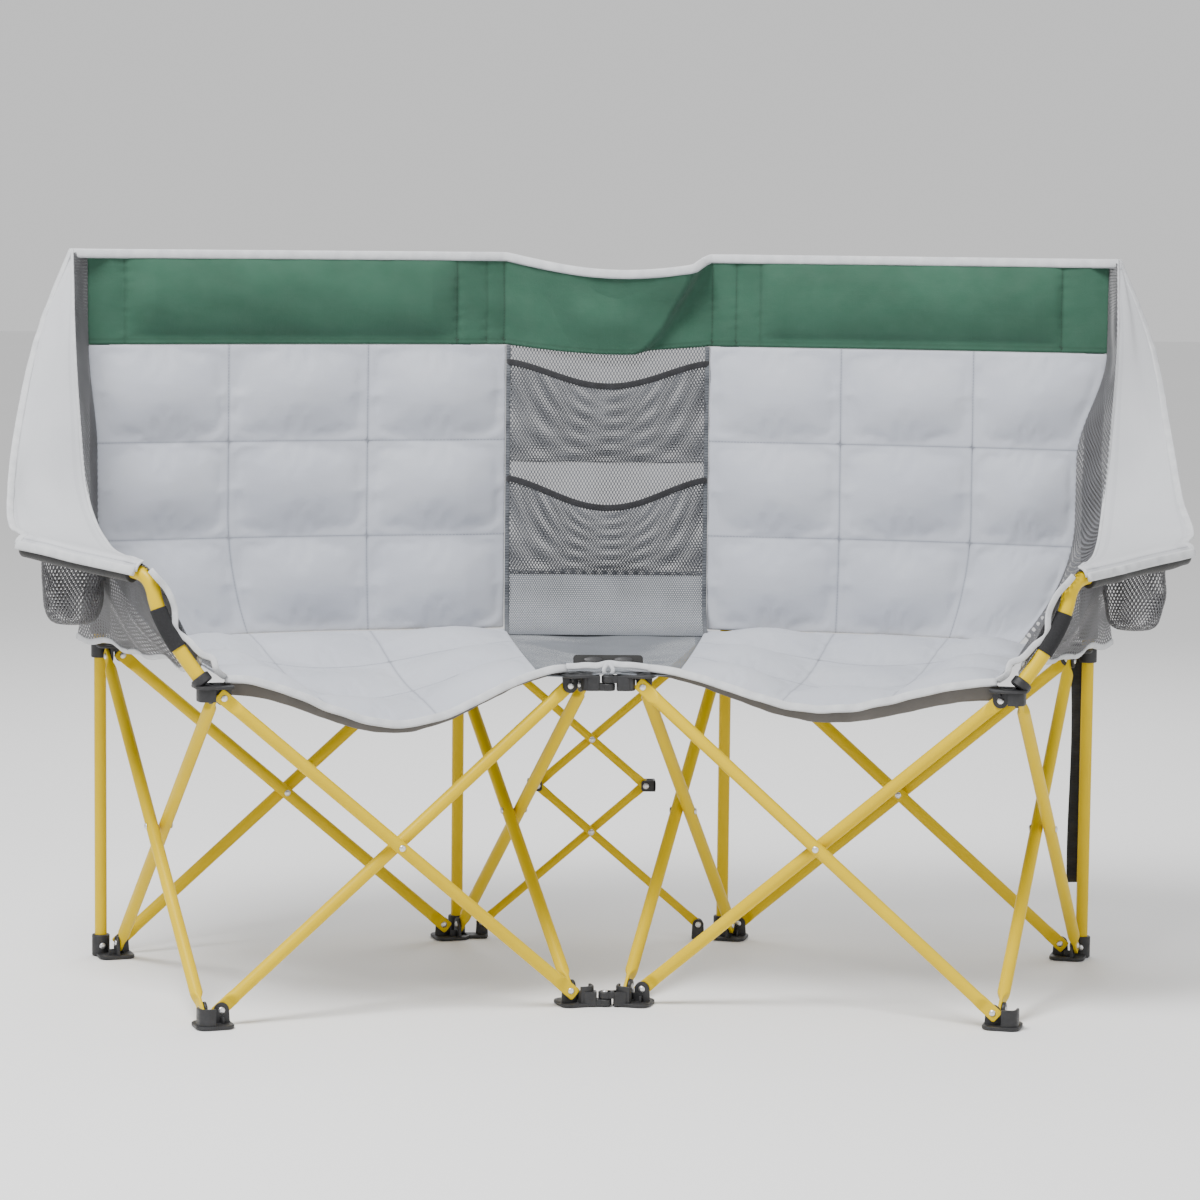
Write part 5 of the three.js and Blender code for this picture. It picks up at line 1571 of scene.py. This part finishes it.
def make_arm_channel(plan):
    """The dark cloth channel round the arm's level part, closed over its tip."""
    arm = arms[plan.name]
    start = lerp(arm["after"], arm["tip"], 0.02)
    along = unit(arm["tip"] - start)
    lengths = np.linspace(0, 1, 40) * np.linalg.norm(arm["tip"] + along * CHANNEL_END - start)
    path = start + lengths[:, None] * along
    across, other = frames_along(path)
    radius = CHANNEL_RADIUS * (1 + 0.05 * ripple(lengths, lengths * 0, 130 + plan.sign, 0.05))
    rings = [circle(path[0], across[0], other[0], radius[0] * 0.86, 28)]
    rings += [circle(p, a, o, r, 28) for p, a, o, r in zip(path, across, other, radius)]
    rings.append(circle(path[-1] + along * CHANNEL_END, across[-1], other[-1], radius[-1] * 0.8, 28))
    for ring in rings:
        below = np.maximum(np.mean(ring[:, 2]) - ring[:, 2], 0) / CHANNEL_RADIUS
        ring[:, 2] -= CHANNEL_DROOP * below
    points, faces = skin(rings)
    lengths = np.concatenate([[0], lengths, lengths[-1:] + 4 * MM])
    flat = [(k * 2.6 * MM, length, 0) for length in lengths for k in range(28)]
    mesh_object(f"{plan.name}_arm_channel", points, faces, CHANNEL, plan.arm_body, flat=flat)


def make_cup(plan):
    node = f"{plan.name}_cup_holder"
    low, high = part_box(node)
    centre = (np.array(low) + np.array(high)) / 2
    body = body_of_node(node)
    heights, shares = np.array(CUP_PROFILE).T
    t, place = np.linspace(0, 1, CUP_RINGS), np.linspace(0, 1, len(CUP_PROFILE))
    angle = 2 * np.pi * np.arange(CUP_SIDES) / CUP_SIDES
    rings, flat = [], []
    for level, share in zip(np.interp(t, place, heights), np.interp(t, place, shares)):
        folds = ripple(angle * 0.04, level * 0.09 + 0 * angle, 101 + plan.sign, 0.05)
        folds = folds * hump(level * 0.9 + 0.05)
        r = lerp(CUP_BOTTOM_RADIUS, CUP_TOP_RADIUS, level) * share * (1 + CUP_CRUMPLE * folds)
        x, y = centre[0] + r * np.cos(angle), centre[1] + r * np.sin(angle)
        rings.append(np.stack([x, y, 0 * angle + low.z + CUP_HEIGHT * level], -1))
        flat.extend([(a * CUP_TOP_RADIUS, CUP_HEIGHT * level + 0.03 * share, 0) for a in angle])
    outer = np.concatenate(rings)
    inner = outer.copy()
    inner[:, :2] = centre[:2] + (outer[:, :2] - centre[:2]) * 0.985
    inner[:, 2] += 0.5 * MM * (outer[:, 2] < low.z + 2 * MM)
    count = len(outer)
    last = count - CUP_SIDES
    faces = []
    for ring in range(0, last, CUP_SIDES):
        for j in range(CUP_SIDES):
            a, b = ring + j, ring + (j + 1) % CUP_SIDES
            faces.append([a, b, b + CUP_SIDES, a + CUP_SIDES])
            faces.append([count + a, count + a + CUP_SIDES, count + b + CUP_SIDES, count + b])
    for j in range(CUP_SIDES):
        a, b = last + j, last + (j + 1) % CUP_SIDES
        faces.append([a, b, count + b, count + a])
    faces.append(list(range(CUP_SIDES))[::-1])
    faces.append([count + k for k in range(CUP_SIDES)])
    bag = mesh_object(f"{plan.name}_cup_net", np.concatenate([outer, inner]), faces, CUP_NET, body,
                      flat=flat + flat)
    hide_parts(node)
    angle = np.linspace(0, 2 * np.pi, CUP_SIDES + 1)
    facing = np.stack([np.cos(angle), np.sin(angle), 0 * angle], -1)
    rim = at_height(centre, high.z - 4 * MM) + CUP_TOP_RADIUS * facing
    band_along(f"{plan.name}_cup_rim", rim, facing, ELASTIC, body, *CUP_RIM_TRIM)


def make_seat_trim(plan):
    """The pale binding along the seat's front and the lining that shows under it."""
    u = np.linspace(0, 1, 80)
    front = seat_point(plan, u, np.zeros(80))
    ahead = -plan.side
    binding = band_along(f"{plan.name}_seat_front_binding", front + ahead * 2 * MM + UP * 1 * MM,
                         ahead + UP * 0.5, BINDING, SLING, *SEAT_FRONT_TRIM, 110 + plan.sign)
    deepest, growth = LINING_DROPS[plan.name]
    drop = 1.5 * MM + deepest * u**growth
    path = front - UP * (4 * MM + drop)[:, None] + plan.side * 4 * MM
    lining = band_along(f"{plan.name}_seat_front_lining", path, ahead - UP * 0.2, LINING, SLING,
                        drop + 1 * MM, *LINING_TRIM, "dark_mesh")
    for piece in (binding, lining):
        squash_seat(piece, plan)


def make_centre_flap():
    """The binding over the link between the seats, its knot, and the flap with two ovals."""
    corner = seat_point(plans["right"], 0.0, 0.0)
    x = np.linspace(-1, 1, 40)
    lift = 5 * MM * hump((x + 1) / 2) + 1.2 * MM * ripple(x * 0.05, x * 0, 140, 0.03)
    path = np.stack([x * corner[0], corner[1] - 3 * MM + 0 * x, corner[2] + 2 * MM + lift], -1)
    pieces = [band_along("centre_front_binding", path, vec(0, -1, 0.5), BINDING, SLING, *CENTRE_FRONT_TRIM)]
    t = np.linspace(0, 1, 26)
    for index, lean in enumerate((-1, 1)):
        loop = np.stack([lean * 6 * MM * hump(t) ** 0.8, corner[1] - (7 + 3 * hump(t)) * MM,
                         corner[2] + 8 * MM - 17 * MM * t], -1)
        pieces.append(band_along(f"centre_knot_{index}", loop, vec(0, -1, 0.2), BINDING, SLING, *KNOT_TRIM))
    origin = vec(0, corner[1] + 3 * MM, corner[2] + 11 * MM)
    normal, rise = vec(0, -0.8, 0.6), vec(0, 0.6, 0.8)
    points, faces = slab(rounded_rectangle(46 * MM, 8 * MM, 5 * MM), origin, X, rise, normal, 1.2 * MM,
                         0.3 * MM)
    flat = [((p - origin) @ X, (p - origin) @ rise, 0) for p in points]
    pieces.append(mesh_object("centre_flap", points, faces, CHANNEL, SLING, crease=50, flat=flat))

    def oval(inset):
        angle = np.linspace(0, 2 * np.pi, 29)[:-1]
        return [((12 * MM - inset) * math.cos(a), (4.6 * MM - inset) * math.sin(a)) for a in angle]

    points, faces = joined_shells([
        slab(oval, origin + X * lean * 20 * MM + normal * 1.2 * MM, X, rise, normal, 1.6 * MM, 0.6 * MM)
        for lean in (-1, 1)])
    pieces.append(mesh_object("centre_flap_ovals", points, faces, PLASTIC, SLING, crease=50))
    for piece in pieces:
        squash_seat(piece, None)


def make_post_sleeves(plan):
    """Cloth channels behind the backs that hold the posts."""
    for name, place in plan.posts.items():
        body = body_of_node(f"{plan.name}_{name}_post")
        rings, flat = [], []
        for z in np.linspace(PAD_BOTTOM + 6 * MM, TOP_HEM - 3 * MM, 60):
            swell = 1 + 0.05 * float(ripple(np.array(z), np.array(0.0), 120 + plan.sign, 0.08))
            centre = at_height(place + plan.forward * 2 * MM, z)
            rings.append(circle(centre, plan.front, -plan.forward, 13.5 * MM * swell, 28, 1.1, 2.2))
            flat.extend([(k / 28 * 0.08, z, 0) for k in range(28)])
        points, faces = skin(rings)
        mesh_object(f"{plan.name}_{name}_post_channel", points, faces, LINING, body, flat=flat)


def make_strap():
    """The carry strap that hangs behind the right outer post."""
    post = plans["right"].posts["outer"]
    top = at_height(post, HUB_PLATE_TOP + 6 * MM) + vec(-12 * MM, 14 * MM)
    low = at_height(post, 105 * MM) + vec(-6 * MM, 14 * MM)
    t = np.linspace(0, 1, 50)[:, None]
    path = lerp(top, low, t) + X * 3 * MM * np.sin(t * 5)
    strap = band_along("carry_strap", path, Y, WEBBING, plans["right"].post_body, *STRAP_TRIM)


# Room and camera

def make_room():
    world = bpy.data.worlds.new("soft_white")
    world.use_nodes = True
    background = world.node_tree.nodes["Background"]
    background.inputs["Color"].default_value = (1, 1, 1, 1)
    background.inputs["Strength"].default_value = WORLD_STRENGTH
    bpy.context.scene.world = world
    shader = Shader("pale_floor", Roughness=0.9)
    shader.feed("Base Color", shader.mix(shader.noise(shader.object_place(), 0.6), *FLOOR_COLOURS))
    points = [(x * FLOOR_HALF_SIZE, y * FLOOR_HALF_SIZE, 0) for x, y in ((-1, -1), (1, -1), (1, 1), (-1, 1))]
    floor = mesh_object("floor", points, [(0, 1, 2, 3)], shader.material, None)
    floor.location.z = -FLOOR_DROP
    for name, values in LIGHTS.items():
        light = bpy.data.lights.new(name, "AREA")
        light.shape = "SQUARE"
        light.size = values["size"]
        light.energy = values["power"]
        lamp = bpy.data.objects.new(name, light)
        lamp.location = values["place"]
        aim = Vector(values["target"]) - Vector(values["place"])
        lamp.rotation_euler = aim.to_track_quat("-Z", "Y").to_euler()
        bpy.context.scene.collection.objects.link(lamp)


def make_camera():
    sin_yaw, cos_yaw = math.sin(CAMERA_YAW), math.cos(CAMERA_YAW)
    level = math.cos(CAMERA_PITCH)
    forward = Vector((sin_yaw * level, cos_yaw * level, -math.sin(CAMERA_PITCH)))
    right = Vector((cos_yaw, -sin_yaw, 0))
    up = right.cross(forward)
    c, s = math.cos(CAMERA_ROLL), math.sin(CAMERA_ROLL)
    columns = (c * right + s * up, c * up - s * right, -forward)
    data = bpy.data.cameras.new("camera")
    data.lens = CAMERA_LENS
    data.sensor_width = CAMERA_SENSOR
    camera = bpy.data.objects.new("camera", data)
    camera.matrix_world = Matrix.Translation(CAMERA_PLACE) @ Matrix(columns).transposed().to_4x4()
    bpy.context.scene.collection.objects.link(camera)
    bpy.context.scene.camera = camera


make_camera()
make_room()
for plan in plans.values():
    make_crossed_tubes(plan)
    for level in LEVELS:
        make_fittings(plan, level)
    make_posts_and_arm(plan)
    make_pads(plan)
    make_seat_trim(plan)
    make_post_sleeves(plan)
make_lattice()
make_band()
make_centre_back()
make_centre_seat()
make_centre_flap()
for plan in plans.values():
    make_wing(plan)
    make_side_cloth(plan)
    make_arm_channel(plan)
    make_cup(plan)
make_strap()
